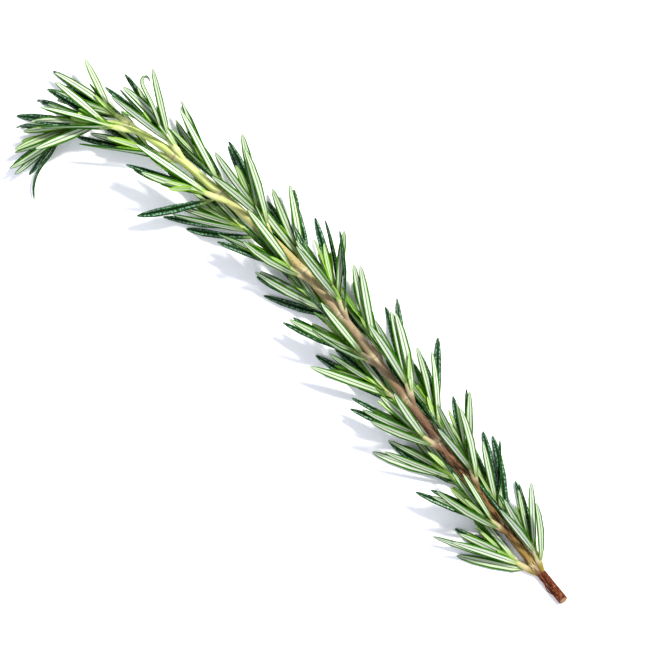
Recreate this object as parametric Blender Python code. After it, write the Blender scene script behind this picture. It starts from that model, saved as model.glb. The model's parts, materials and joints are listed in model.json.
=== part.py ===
"""A rosemary sprig, freshly cut and lying on a flat surface.

The sprig grows from its cut woody end (low x) to its drooping tip (high x). +Z is up and the surface
is at z = 0. The origin is the middle of the small flat that the woody end rests on.

- main_stem is the bare stem: woody at the cut end, swollen a little at each leaf joint.
- side_shoot_NN_left and side_shoot_NN_right are the opposite pair at joint NN. Each is one body: a foot
  on the stem, the leaf that stands below it, and a slim short shoot with its own pairs of narrow leaves.
- tip_tuft is the growing tip, whose leaves stand close together.

Every leaf is grown along a spine. A leaf that would cross another turns aside until it is clear, and one
that would go through the surface lies along it instead.
"""

import math
import random

import bmesh
import bpy
from mathutils import Matrix, Vector
from mathutils.bvhtree import BVHTree

MM = 0.001
UP = Vector((0, 0, 1))
SEED = 35

# The stem's route in millimetres from the middle of its cut end, and where the flat that it rests on is.
STEM_ROUTE = [
    (0, 0, 1.35),
    (13.3, -3.2, 1.35),
    (25.5, -6.3, 2.7),
    (50.2, -12.9, 5.7),
    (80.3, -21.3, 8.0),
    (105.7, -28.0, 9.0),
    (126.1, -32.6, 9.5),
    (144.7, -35.0, 9.9),
    (162.1, -36.2, 10.4),
    (180.7, -37.2, 11.0),
    (196.7, -35.4, 11.2),
    (205.4, -30.3, 10.3),
    (211.5, -23.6, 8.4),
    (214.4, -15.0, 6.2),
]
REST_SPOT = Vector((6.0, -1.5, 0.0))

# The stem in millimetres.
STEM_SIDES = 8
STEM_RADII = [(0, 1.5), (60, 1.45), (150, 1.38), (185, 1.25), (205, 0.9), (230, 0.55)]
STEM_END = 206.0
JOINT_SWELL = 0.22
JOINT_SPREAD = 1.7
CUT_SLANT = 0.55
RINGS_BETWEEN_JOINTS = 3

# Joints: their places along the stem, where each opposite pair of side shoots grows, and their turn round it.
JOINTS = (14.0, 30.5, 47.0, 63.5, 80.0, 96.5, 113.5, 130.5, 148.5, 166.0, 184.5, 201.5)
PAIR_TURN = 90.0
FIRST_PAIR_AT = 138.0
CLEARANCE = 0.3

# Side shoots: their slim core in millimetres, and how it leans from the stem in degrees.
CORE_SIDES = 6
CORE_RADIUS = 0.85
CORE_TIP_RADIUS = 0.5
CORE_LENGTHS = (9.0, 12.0)
CORE_LEAN_FROM = 24.0
CORE_LEAN_TO = 14.0
CORE_STEPS = 6
FOOT_LENGTH = 1.5
FOOT_WIDTH = 1.0
FOOT_HEIGHT = 1.15
FOOT_GAP = 0.35
UNDER_LEAF_RISE = 0.45
UNDER_LEAF_LEAN = 44.0
UNDER_LEAF_LENGTH = 25.5

# Towards the tip the leaves stand closer to the stem: the share of their lean at places along the stem.
LEAN_SHARES = [(0, 1.0), (150, 1.0), (205, 0.4)]

# The pairs on a side shoot: step of the core, lean, length, share of the full width.
SHOOT_PAIRS = [
    (2, 25.0, 25.5, 1.0),
    (3, 23.0, 24.5, 1.0),
    (4, 19.0, 21.5, 0.9),
    (5, 12.0, 16.0, 0.72),
]

# The broad dark leaf that lies out to the left with its upper face up.
BROAD_LEAF_ON = "side_shoot_10_left"
BROAD_LEAF_TURN = -48.0
BROAD_LEAF_LEAN = 56.0
BROAD_LEAF_BEND = -6.0
BROAD_LEAF_LENGTH = 25.6
BROAD_LEAF_HALF_WIDTH = 1.8

# Leaves: long narrow blades in millimetres, at four stations and a blunt point.
LEAF_STATIONS = (0.0, 0.2, 0.55, 0.85)
LEAF_OUTLINE = (0.40, 0.80, 1.0, 0.66)
LEAF_HALF_WIDTH = 1.4
LEAF_TOP = 0.42
LEAF_UNDER = 0.26
LEAF_EDGE = -0.10
LEAF_STEPS = 20
LEAF_FLOOR = (0.46, 0.8)
LEAF_LIES_FLAT_BELOW = 4.0
LENGTH_SPREAD = 0.12
WIDTH_SPREAD = 0.1
ROOT_SPREAD = 0.35
SWEEP = 0.2
TWIST = 30.0

# Which face a leaf turns up: the chance that it is the upper one, how far it turns, and how far down the
# side of a shoot the leaves still turn their undersides up.
SHOWS_UPPER_FACE = 0.22
TURNS_OVER = 0.6
TURNS_OVER_ABOVE = -0.6

# The tip tuft: where its pairs stand on the stem, their lengths and how far they lean out.
TUFT_START = 206.35
TUFT_END = 226.5
TUFT_STEPS = 7
TUFT_TURN = 40.0
TUFT_PAIRS = [
    (210.5, 23.0, 30.0),
    (213.0, 20.0, 22.0),
    (215.5, 22.5, 27.0),
    (218.0, 18.5, 19.0),
    (220.3, 21.0, 23.0),
    (222.3, 17.5, 15.0),
    (224.0, 18.5, 15.0),
    (225.3, 15.0, 9.0),
]

# How a blocked leaf turns aside: degrees round the shoot, degrees of lean, share of its length.
TURNS = [
    (0, 0, 1.0),
    (12, 0, 1.0),
    (-12, 0, 1.0),
    (0, 9, 1.0),
    (0, -8, 1.0),
    (22, 4, 1.0),
    (-22, 4, 1.0),
    (0, 18, 0.95),
    (34, 8, 0.92),
    (-34, 8, 0.92),
    (48, 14, 0.85),
    (-48, 14, 0.85),
    (0, 30, 0.8),
    (62, 20, 0.8),
    (-62, 20, 0.8),
    (20, 38, 0.7),
    (-20, 38, 0.7),
]

STEM_COLOUR = (0.45, 0.40, 0.16, 1.0)
LEAF_COLOUR = (0.16, 0.30, 0.06, 1.0)


class Route:
    """A smooth line through a few points, read by the distance along it, in millimetres."""

    def __init__(self, points, per_span=14):
        knots = [Vector(p) for p in points]
        knots = [2 * knots[0] - knots[1], *knots, 2 * knots[-1] - knots[-2]]
        self.points = []
        for a, b, c, d in zip(knots, knots[1:], knots[2:], knots[3:]):
            for i in range(per_span):
                t = i / per_span
                self.points.append(
                    0.5 * (2 * b + (c - a) * t + (2 * a - 5 * b + 4 * c - d) * t**2
                           + (3 * b - a - 3 * c + d) * t**3)
                )
        self.points.append(knots[-2])
        self.distance = [0.0]
        for a, b in zip(self.points, self.points[1:]):
            self.distance.append(self.distance[-1] + (b - a).length)

    def at(self, s):
        """Where the line is at s, with the directions along it, to its left and above it."""
        i = 0
        while i < len(self.points) - 2 and self.distance[i + 1] < s:
            i += 1
        a, b = self.points[i], self.points[i + 1]
        along = (b - a).normalized()
        place = a + along * (s - self.distance[i])
        left = UP.cross(along).normalized()
        return place, along, left, along.cross(left)


def between(pairs, s):
    """The value at s of a straight-line graph through (place, value) pairs."""
    for (s0, v0), (s1, v1) in zip(pairs, pairs[1:]):
        if s <= s1:
            return v0 + (v1 - v0) * max(0.0, s - s0) / (s1 - s0)
    return pairs[-1][1]


def stem_radius(s):
    swell = sum(math.exp(-(((s - joint) / JOINT_SPREAD) ** 2)) for joint in JOINTS)
    return between(STEM_RADII, s) + JOINT_SWELL * swell


def round_ring(place, left, up, radius, sides):
    turns = [(i + 0.5) * math.tau / sides for i in range(sides)]
    return [place + left * (radius * math.cos(t)) + up * (radius * math.sin(t)) for t in turns]


def skin(rings, tip=None):
    """Points and faces of the closed skin over rings of points, whose last end is flat or a point."""
    n = len(rings[0])
    points = [p for ring in rings for p in ring]
    faces = [tuple(reversed(range(n)))]
    for r in range(len(rings) - 1):
        for i in range(n):
            j = (i + 1) % n
            faces.append((r * n + i, r * n + j, (r + 1) * n + j, (r + 1) * n + i))
    last = (len(rings) - 1) * n
    if tip is None:
        faces.append(tuple(range(last, last + n)))
    else:
        points.append(tip)
        faces += [(last + i, last + (i + 1) % n, len(points) - 1) for i in range(n)]
    return points, faces


def stem_skin(route):
    """The bare stem. Where it lies on the surface it is pressed flat, and its slanted cut faces up."""
    places = [0.0, 1.5]
    for middle, following in zip(JOINTS, (*JOINTS[1:], STEM_END + JOINT_SPREAD)):
        places += [middle - JOINT_SPREAD, middle, middle + JOINT_SPREAD]
        gap = (following - middle - 2 * JOINT_SPREAD) / (RINGS_BETWEEN_JOINTS + 1)
        places += [middle + JOINT_SPREAD + gap * (i + 1) for i in range(RINGS_BETWEEN_JOINTS)]
    places = [s for s in places if s < STEM_END - 0.5] + [STEM_END]
    rings = []
    for s in places:
        place, along, left, up = route.at(s)
        ring = round_ring(place, left, up, stem_radius(s), STEM_SIDES)
        if s == 0.0:
            ring = [p + along * CUT_SLANT * (p - place).dot(up) for p in ring]
        rings.append([Vector((p.x, p.y, max(p.z, 0.0))) for p in ring])
    return skin(rings)


def grow_line(start, along, out, lean_from, lean_to, length, steps, sweep, floor):
    """Points of a line that leaves start, leaning from along towards out, and never goes under floor."""
    side = along.cross(out).normalized()
    points = [start]
    for i in range(steps):
        t = (i + 0.5) / steps
        lean = math.radians(lean_from + (lean_to - lean_from) * t)
        way = along * math.cos(lean) + out * math.sin(lean) + side * (sweep * t)
        step = way.normalized() * (length / steps)
        if points[-1].z + step.z < floor:
            step.z = max(floor - points[-1].z, step.z)
            step = step.normalized() * (length / steps)
            step.z = max(floor - points[-1].z, step.z)
        points.append(points[-1] + step)
    return points


class Leaf:
    """One narrow blade: the points of its spine, and the way that its upper face looks at each of them.

    The upper face looks to the shoot's axis. Part of the way up, a leaf that stands out sideways turns over,
    mostly with its pale underside up.
    """

    def __init__(self, start, along, out, lean, bend, length, half_width, sweep, twist, shown, floor):
        self.points = grow_line(start, along, out, lean, lean + bend, length, LEAF_STEPS, sweep, floor)
        self.half_width = half_width
        self.faces_to = []
        beside = 1 - out.z**2
        turned_over = beside if shown > 0 else min(1.0, max(0.0, 1.6 * (out.z - TURNS_OVER_ABOVE)))
        for i in range(len(self.points)):
            t = i / LEAF_STEPS
            way = self.way(i)
            tilt = math.radians(lean + bend * t)
            face = along * math.sin(tilt) - out * math.cos(tilt)
            face = face.lerp(UP * shown, TURNS_OVER * turned_over * min(1.0, 3 * t))
            face = Matrix.Rotation(math.radians(twist) * (0.35 + 0.65 * t), 3, way) @ face
            height = min(1.0, max(0.0, (self.points[i].z - floor) / LEAF_LIES_FLAT_BELOW))
            flat = UP if face.z > 0 else -UP
            face = flat.lerp(face, height**0.6)
            face = face - way * face.dot(way)
            self.faces_to.append(face.normalized())

    def way(self, i):
        a = self.points[max(0, i - 1)]
        b = self.points[min(len(self.points) - 1, i + 1)]
        return (b - a).normalized()

    def skin(self, swell=0.0, from_station=0):
        """The blade's closed skin, made thicker and wider by swell."""
        rings = []
        for station, share in list(zip(LEAF_STATIONS, LEAF_OUTLINE))[from_station:]:
            i = round(station * LEAF_STEPS)
            face, place = self.faces_to[i], self.points[i]
            side = face.cross(self.way(i)).normalized()
            half = self.half_width * share + swell
            rings.append([
                place + side * half + face * LEAF_EDGE,
                place + face * (LEAF_TOP + swell),
                place - side * half + face * LEAF_EDGE,
                place - face * (LEAF_UNDER + swell),
            ])
        return skin(rings, self.points[-1] + self.way(LEAF_STEPS) * swell)


class Node:
    """One named body of the sprig: a slim core and the leaves that are fused to it."""

    def __init__(self, name, foot, core):
        self.name, self.foot, self.core, self.leaves = name, foot, core, []


class Sprig:
    """All the bodies grown so far, with a search tree and a box for each of their skins."""

    def __init__(self):
        self.route = Route(STEM_ROUTE)
        self.draw = random.Random(SEED)
        self.nodes = []
        self.grown = []
        self.dropped = 0
        self.remember(None, *stem_skin(self.route))

    def remember(self, node, points, faces, outer=None):
        low = [min(p[i] for p in points) for i in range(3)]
        high = [max(p[i] for p in points) for i in range(3)]
        tree = BVHTree.FromPolygons(points, faces)
        self.grown.append((node, low, high, tree, outer))

    def is_clear(self, node, leaf):
        """Whether a leaf stays clear of the other bodies, and its outer part of the leaves beside it."""
        swollen = leaf.skin(CLEARANCE, 1)
        outer = leaf.skin(0.0, 1)
        for points, faces, own in ((*swollen, False), (*outer, True)):
            low = [min(p[i] for p in points) for i in range(3)]
            high = [max(p[i] for p in points) for i in range(3)]
            tree = None
            for other, other_low, other_high, other_tree, other_outer in self.grown:
                if (other is node) != own or (own and other_outer is None):
                    continue
                if any(low[i] > other_high[i] or high[i] < other_low[i] for i in range(3)):
                    continue
                tree = tree or BVHTree.FromPolygons(points, faces)
                if tree.overlap(other_outer if own else other_tree):
                    return False
        return True

    def add_leaf(self, node, start, directions, round_at, shape, face_up=SHOWS_UPPER_FACE):
        """Grows a leaf that points round_at degrees round the shoot, turned aside if it is blocked.

        directions are those along the shoot, to its left and above it. shape is the leaf's lean, bend,
        length and half-width. A leaf that is sure to turn its upper face up isn't twisted.
        """
        along, left, up = directions
        lean, bend, length, half_width = shape
        sweep = self.draw.uniform(-SWEEP, SWEEP)
        twist = self.draw.uniform(-TWIST, TWIST) if face_up < 1.0 else 0.0
        shown = 1 if self.draw.random() < face_up else -1
        floor = self.draw.uniform(*LEAF_FLOOR)
        for more_round, more_lean, share in TURNS:
            turn = math.radians(round_at + more_round)
            out = left * math.cos(turn) + up * math.sin(turn)
            leaf = Leaf(start, along, out, lean + more_lean, bend, length * share, half_width,
                        sweep, twist, shown, floor)
            if self.is_clear(node, leaf):
                node.leaves.append(leaf)
                self.remember(node, *leaf.skin(), outer=BVHTree.FromPolygons(*leaf.skin(0.0, 1)))
                return
        self.dropped += 1

    def shape(self, lean, lean_spread, bends, length, width):
        """A leaf's lean, bend, length and half-width, each drawn near what is asked for."""
        return (
            lean + self.draw.uniform(-lean_spread, lean_spread),
            self.draw.uniform(*bends),
            length * (1 + self.draw.uniform(-LENGTH_SPREAD, LENGTH_SPREAD)),
            LEAF_HALF_WIDTH * width * (1 + self.draw.uniform(-WIDTH_SPREAD, WIDTH_SPREAD)),
        )

    def grow_side_shoot(self, k, name, round_at):
        """A foot on the stem at joint k, its under leaf, and a short shoot with pairs of leaves."""
        draw = self.draw
        place, along, left, up = self.route.at(JOINTS[k])
        turn = math.radians(round_at)
        out = left * math.cos(turn) + up * math.sin(turn)
        side = along.cross(out)
        foot = place + out * (stem_radius(JOINTS[k]) + FOOT_GAP)
        length = draw.uniform(*CORE_LENGTHS)
        line = grow_line(foot, along, out, CORE_LEAN_FROM, CORE_LEAN_TO, length, CORE_STEPS, 0.0, CORE_RADIUS)
        rings = [[
            foot + along * (FOOT_LENGTH * math.sin(t)) + side * (FOOT_WIDTH * math.cos(t))
            for t in [(i + 0.5) * math.tau / CORE_SIDES for i in range(CORE_SIDES)]
        ]]
        for i in range(1, CORE_STEPS):
            way = (line[i + 1] - line[i - 1]).normalized()
            radius = CORE_RADIUS + (CORE_TIP_RADIUS - CORE_RADIUS) * i / CORE_STEPS
            rings.append(round_ring(line[i], side, way.cross(side), radius, CORE_SIDES))
        node = Node(name, foot, skin(rings, line[CORE_STEPS]))
        self.nodes.append(node)
        self.remember(node, *node.core)

        closeness = between(LEAN_SHARES, JOINTS[k])
        turn = draw.uniform(-10, 10)
        shape = self.shape(UNDER_LEAF_LEAN * closeness, 7, (-26, -6), UNDER_LEAF_LENGTH, 1.0)
        face_up = SHOWS_UPPER_FACE
        if name == BROAD_LEAF_ON:
            turn = BROAD_LEAF_TURN
            shape = (BROAD_LEAF_LEAN, BROAD_LEAF_BEND, BROAD_LEAF_LENGTH, BROAD_LEAF_HALF_WIDTH)
            face_up = 1.0
        self.add_leaf(node, foot + out * UNDER_LEAF_RISE, (along, out, side), turn, shape, face_up)
        for j, (i, lean, leaf_length, width) in enumerate(SHOOT_PAIRS):
            way = (line[i + 1] - line[i - 1]).normalized()
            for opposite in (0, 180):
                start = line[i] + way * draw.uniform(-ROOT_SPREAD, ROOT_SPREAD)
                turn = 90 * j + opposite + draw.uniform(-16, 16)
                shape = self.shape(lean * closeness, 6, (-12, 6), leaf_length, width)
                self.add_leaf(node, start, (way, side, way.cross(side)), turn, shape)

    def grow_tuft(self):
        """The tip: the last of the stem and its crowded pairs, each a quarter turn from the one before."""
        draw = self.draw
        places = [TUFT_START + (TUFT_END - TUFT_START) * i / TUFT_STEPS for i in range(TUFT_STEPS)]
        rings = []
        for s in places:
            place, _, left, up = self.route.at(s)
            rings.append(round_ring(place, left, up, between(STEM_RADII, s), CORE_SIDES))
        start, end = self.route.at(TUFT_START)[0], self.route.at(TUFT_END)[0]
        node = Node("tip_tuft", start, skin(rings, end))
        self.nodes.append(node)
        self.remember(node, *node.core)
        for j, (s, leaf_length, lean) in enumerate(TUFT_PAIRS):
            place, *directions = self.route.at(s)
            for opposite in (0, 180):
                start = place + directions[0] * draw.uniform(-ROOT_SPREAD, ROOT_SPREAD)
                turn = TUFT_TURN + 90 * j + opposite + draw.uniform(-14, 14)
                shape = self.shape(lean, 5, (-20, 4), leaf_length, min(1.0, leaf_length / 20))
                self.add_leaf(node, start, directions, turn, shape)

    def grow(self):
        self.grow_tuft()
        for k in reversed(range(len(JOINTS))):
            round_at = FIRST_PAIR_AT + PAIR_TURN * k + self.draw.uniform(-12, 12)
            ways = [self.above_surface(k, round_at), self.above_surface(k, round_at + 180)]
            ways.sort(key=lambda way: math.cos(math.radians(way)), reverse=True)
            for way, hand in zip(ways, ("left", "right")):
                self.grow_side_shoot(k, f"side_shoot_{k + 1:02d}_{hand}", way)

    def above_surface(self, k, round_at):
        """The turn round joint k, less steep where a foot would otherwise be too low."""
        height = self.route.at(JOINTS[k])[0].z
        lowest = max(-1.0, (FOOT_HEIGHT - height) / (stem_radius(JOINTS[k]) + CLEARANCE))
        if math.sin(math.radians(round_at)) >= lowest:
            return round_at
        steepest = math.degrees(math.asin(lowest))
        return steepest if math.cos(math.radians(round_at)) > 0 else 180 - steepest


def material(name, colour, roughness):
    made = bpy.data.materials.new(name)
    made.use_nodes = True
    shader = made.node_tree.nodes["Principled BSDF"]
    shader.inputs["Base Color"].default_value = colour
    shader.inputs["Roughness"].default_value = roughness
    shader.inputs["Metallic"].default_value = 0.0
    return made


def mesh_object(name, points, faces, foot):
    """A mesh object with its origin at foot, from points in millimetres."""
    mesh = bpy.data.meshes.new(name)
    mesh.from_pydata([(p - foot) * MM for p in points], [], faces)
    mesh.validate()
    made = bpy.data.objects.new(name, mesh)
    made.location = (foot - REST_SPOT) * MM
    bpy.context.scene.collection.objects.link(made)
    return made


def shells(mesh):
    """The face groups of a bmesh that hang together, each with the volume it encloses."""
    unseen = set(mesh.faces)
    while unseen:
        shell = [unseen.pop()]
        for face in shell:
            beside = {other for edge in face.edges for other in edge.link_faces if other in unseen}
            unseen -= beside
            shell += beside
        yield sum(face.calc_center_median().dot(face.normal) * face.calc_area() for face in shell), shell


def keep_outer_shell(data):
    """Drops loose scraps, and fills any small hollow that the leaves sealed between them."""
    mesh = bmesh.new()
    mesh.from_mesh(data)
    bmesh.ops.triangulate(mesh, faces=mesh.faces)
    found = sorted(shells(mesh), key=lambda pair: pair[0])
    extra = [face for _, shell in found[:-1] for face in shell]
    bmesh.ops.delete(mesh, geom=extra, context="FACES")
    mesh.to_mesh(data)
    mesh.free()


def fuse(core, leaves):
    """Joins the leaves to their core in one Boolean union, applies it, and removes the loose leaves."""
    loose = bpy.data.collections.new("loose_leaves")
    bpy.context.scene.collection.children.link(loose)
    for leaf in leaves:
        bpy.context.scene.collection.objects.unlink(leaf)
        loose.objects.link(leaf)
    union = core.modifiers.new("fuse_leaves", "BOOLEAN")
    union.operation = "UNION"
    union.solver = "MANIFOLD"
    union.operand_type = "COLLECTION"
    union.collection = loose
    bpy.context.view_layer.update()
    fused = bpy.data.meshes.new_from_object(core.evaluated_get(bpy.context.evaluated_depsgraph_get()))
    core.modifiers.clear()
    core.data = fused
    keep_outer_shell(fused)
    for leaf in leaves:
        bpy.data.objects.remove(leaf)
    bpy.data.collections.remove(loose)


def finish(made, parent, look):
    made.data.materials.clear()
    made.data.materials.append(look)
    made.data.shade_smooth()
    made.data.set_sharp_from_angle(angle=math.radians(38))
    made.parent = parent


def main():
    for old in list(bpy.data.objects):
        bpy.data.objects.remove(old)
    sprig = Sprig()
    sprig.grow()
    parent = bpy.data.objects.new("rosemary_sprig", None)
    bpy.context.scene.collection.objects.link(parent)
    bark = material("stem_bark", STEM_COLOUR, 0.7)
    green = material("leaf_green", LEAF_COLOUR, 0.5)
    stem = mesh_object("main_stem", *stem_skin(sprig.route), Vector((0, 0, 0)))
    finish(stem, parent, bark)
    for node in sprig.nodes:
        core = mesh_object(node.name, *node.core, node.foot)
        leaves = [mesh_object("leaf", *leaf.skin(), node.foot) for leaf in node.leaves]
        fuse(core, leaves)
        finish(core, parent, green)
    leaves = sum(len(node.leaves) for node in sprig.nodes)
    print(f"{leaves} leaves on {len(sprig.nodes)} shoots, {sprig.dropped} left out")


main()
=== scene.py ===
# %% [markdown]
# # A fresh-cut rosemary sprig
#
# A sprig of rosemary is one thin stem with leaves in opposite pairs. In the corner of each leaf a short
# side shoot has started, so every joint of the stem carries two small tufts. The leaves are narrow. Their
# upper faces are dark, glossy and pebbled, their undersides are pale felt with a thin rib, and their
# edges are rolled under in a bright green band.
#
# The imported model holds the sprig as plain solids. This script grows the same leaves along the same
# lines, but each with a finer section and a real finish, and puts them in the solids' places.

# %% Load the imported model
import json
import math
import random

import bpy
from mathutils import Matrix, Vector
from mathutils.bvhtree import BVHTree


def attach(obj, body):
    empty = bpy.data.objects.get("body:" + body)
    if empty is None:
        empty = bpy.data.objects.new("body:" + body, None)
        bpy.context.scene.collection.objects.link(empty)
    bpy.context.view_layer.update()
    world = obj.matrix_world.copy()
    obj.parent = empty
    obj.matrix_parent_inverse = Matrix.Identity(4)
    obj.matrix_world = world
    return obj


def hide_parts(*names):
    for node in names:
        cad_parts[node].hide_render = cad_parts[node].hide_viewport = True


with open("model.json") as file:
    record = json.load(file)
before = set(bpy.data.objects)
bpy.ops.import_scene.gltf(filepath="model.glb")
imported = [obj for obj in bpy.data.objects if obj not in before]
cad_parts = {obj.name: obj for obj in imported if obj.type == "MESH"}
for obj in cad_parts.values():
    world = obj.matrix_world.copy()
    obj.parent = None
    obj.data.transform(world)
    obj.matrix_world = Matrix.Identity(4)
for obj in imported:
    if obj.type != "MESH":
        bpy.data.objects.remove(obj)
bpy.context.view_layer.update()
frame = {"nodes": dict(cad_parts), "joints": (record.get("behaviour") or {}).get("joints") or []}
print(f"{len(frame['nodes'])} solids, {len(frame['joints'])} joints")

# %% [markdown]
# ## The camera
#
# The photograph looks straight down on the table. Its scale is known from the leaves, so one pixel is a
# fixed length on the table, and any pixel can be turned into a place. A long lens from high up keeps the
# raised leaves from looking larger than the ones on the table. The camera is rolled until the sprig runs
# from the lower right to the upper left, as it does in the photograph.

# %% Camera
MM = 0.001
UP = Vector((0, 0, 1))
PHOTO_SIDE = 650
PIXEL = 0.3125 * MM
PHOTO_TURN = math.radians(142.8)
CUT_END_PIXEL = (563, 600)
REST_SPOT = Vector((6.0, -1.5, 0.0))
CAMERA_HEIGHT = 0.9
SENSOR = 36.0


def place_of_pixel(column, row):
    """The place on the table that a pixel of the photograph shows."""
    right = (column - CUT_END_PIXEL[0]) * PIXEL
    up = (CUT_END_PIXEL[1] - row) * PIXEL
    turned = Matrix.Rotation(-PHOTO_TURN, 3, "Z") @ Vector((right, up, 0))
    return turned - REST_SPOT * MM


middle = place_of_pixel(PHOTO_SIDE / 2, PHOTO_SIDE / 2)
camera = bpy.data.objects.new("camera", bpy.data.cameras.new("camera"))
camera.data.sensor_width = SENSOR
camera.data.lens = SENSOR * CAMERA_HEIGHT / (PHOTO_SIDE * PIXEL)
camera.location = middle + UP * CAMERA_HEIGHT
camera.rotation_euler = (0, 0, -PHOTO_TURN)
bpy.context.scene.collection.objects.link(camera)
bpy.context.scene.camera = camera
print(f"the view is {PHOTO_SIDE * PIXEL / MM:.0f} mm wide, lens {camera.data.lens:.0f} mm")

# %% [markdown]
# ## The table and the light
#
# The sprig lies on plain white. Light comes from the upper right of the picture, high enough that the
# shadows stay close to the leaves and fall to the lower left. The lamp is small, so their edges are
# clear. A faint wide lamp on the other side and a pale sky fill them with a cool grey. The High Contrast
# look keeps the greens deep beside so much white.

# %% Lamps and sky
bpy.context.scene.view_settings.view_transform = "Standard"
bpy.context.scene.view_settings.look = "High Contrast"
SKY_COLOUR = (0.89, 0.90, 1.0, 1.0)
SKY_STRENGTH = 0.72


def picture_direction(degrees):
    """The level direction on the table that lies this many degrees round from the picture's right."""
    angle = math.radians(degrees) - PHOTO_TURN
    return Vector((math.cos(angle), math.sin(angle), 0))


def lamp(name, degrees, height, distance, size, power, colour):
    """An area lamp that looks at the middle of the view from a direction in the picture."""
    made = bpy.data.objects.new(name, bpy.data.lights.new(name, "AREA"))
    made.data.size = size
    made.data.energy = power
    made.data.color = colour
    made.location = middle + picture_direction(degrees) * distance + UP * height
    made.rotation_euler = (middle - made.location).to_track_quat("-Z", "Y").to_euler()
    bpy.context.scene.collection.objects.link(made)


lamp("key_lamp", degrees=48, height=0.95, distance=0.62, size=0.10, power=11.0, colour=(1.0, 0.98, 0.94))
lamp("fill_lamp", degrees=215, height=0.9, distance=0.8, size=0.9, power=1.5, colour=(0.90, 0.95, 1.0))

sky = bpy.data.worlds.new("studio")
sky.use_nodes = True
sky.node_tree.nodes["Background"].inputs["Color"].default_value = SKY_COLOUR
sky.node_tree.nodes["Background"].inputs["Strength"].default_value = SKY_STRENGTH
bpy.context.scene.world = sky
print(len(bpy.data.lights), "lamps and a sky")

# %% Table
TABLE_SIDE = 3.0
half = TABLE_SIDE / 2
corners = [(-half, -half, 0), (half, -half, 0), (half, half, 0), (-half, half, 0)]
table_mesh = bpy.data.meshes.new("table")
table_mesh.from_pydata(corners, [], [(0, 1, 2, 3)])
table = bpy.data.objects.new("table", table_mesh)
bpy.context.scene.collection.objects.link(table)
print("the table is", TABLE_SIDE, "m wide")

# %% [markdown]
# ## Writing node graphs as maths
#
# Both the shapes and the finishes are node graphs. A `Wire` stands for one output socket and takes part in
# ordinary Python sums, so a formula reads as a formula. Every other node comes from `Graph.node`, which
# sets a node's options first and then its sockets.

# %% Sums on sockets
class Wire:
    """An output socket that can be added, multiplied and so on, each time by a new node."""

    def __init__(self, graph, socket):
        self.graph = graph
        self.socket = socket

    def maths(self, operation, *values):
        return self.graph.node("ShaderNodeMath", {"operation": operation}, dict(enumerate(values)))[0]

    def __add__(self, other):
        return self.maths("ADD", self, other)

    def __sub__(self, other):
        return self.maths("SUBTRACT", self, other)

    def __rsub__(self, other):
        return self.maths("SUBTRACT", other, self)

    def __mul__(self, other):
        return self.maths("MULTIPLY", self, other)

    def __gt__(self, other):
        return self.maths("GREATER_THAN", self, other)

    def __abs__(self):
        return self.maths("ABSOLUTE", self)

    __radd__ = __add__
    __rmul__ = __mul__

    def between(self, low, high):
        """0 at low and 1 at high, in a straight line between them."""
        sockets = {"Value": self, "From Min": low, "From Max": high}
        return self.graph.node("ShaderNodeMapRange", {"clamp": True}, sockets)[0]

    def at_least(self, low):
        return self.maths("MAXIMUM", self, low)


print("each sign in a formula of wires becomes one node")

# %% Graphs, and the outputs of their nodes
class Graph:
    """Adds nodes to one node tree."""

    def __init__(self, tree):
        self.tree = tree

    def node(self, kind, settings=None, sockets=None):
        """A new node's outputs. Its settings come first, then its sockets by name or by number.

        A list of wires goes into one socket that takes several.
        """
        made = self.tree.nodes.new(kind)
        for name, value in (settings or {}).items():
            if name == "stops":
                set_stops(made.color_ramp, value)
            else:
                setattr(made, name, value)
        for key, value in (sockets or {}).items():
            for each in value if isinstance(value, list) else [value]:
                self.plug(each, made.inputs[key])
        return Outputs(self, made)

    def plug(self, value, socket):
        """Links a wire to a socket, or sets the socket's own value."""
        if isinstance(value, Wire):
            self.tree.links.new(value.socket, socket)
        elif socket.type == "RGBA":
            socket.default_value = (*value, 1.0)
        else:
            socket.default_value = value


class Outputs:
    """A node's outputs as wires, by name or by number."""

    def __init__(self, graph, made):
        self.graph = graph
        self.outputs = made.outputs

    def __getitem__(self, key):
        return Wire(self.graph, self.outputs[key])


def set_stops(ramp, stops):
    """Gives a colour ramp its places from 0 to 1 and the colour at each."""
    while len(ramp.elements) < len(stops):
        ramp.elements.new(1.0)
    for element, (position, colour) in zip(ramp.elements, stops):
        element.position = position
        element.color = (*colour, 1.0)


practice = bpy.data.node_groups.new("practice", "ShaderNodeTree")
answer = 1 - 0.5 * Graph(practice).node("ShaderNodeValue")[0]
print(f"1 - 0.5 * value is the {answer.socket.name} of node {len(practice.nodes)} in its tree")
bpy.data.node_groups.remove(practice)

# %% [markdown]
# ## Finishes
#
# A finish begins as a Principled shader. `finish_of` makes one and hands its graph to a function that
# works out the colour, the roughness, the share of wax and the height of the fine relief. The wax is the
# shader's clear coat. Apart from the wax nothing on a sprig shines, so the bare surface reflects little.

# %% Helpers for finishes
WAX_ROUGHNESS = 0.30
BARE_GLOSS = 0.2
# A Mix node has sockets for numbers, vectors and colours. These are the ones for colours.
MIX_SHARE, MIX_FIRST, MIX_SECOND, MIX_RESULT = 0, 6, 7, 2


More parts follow.
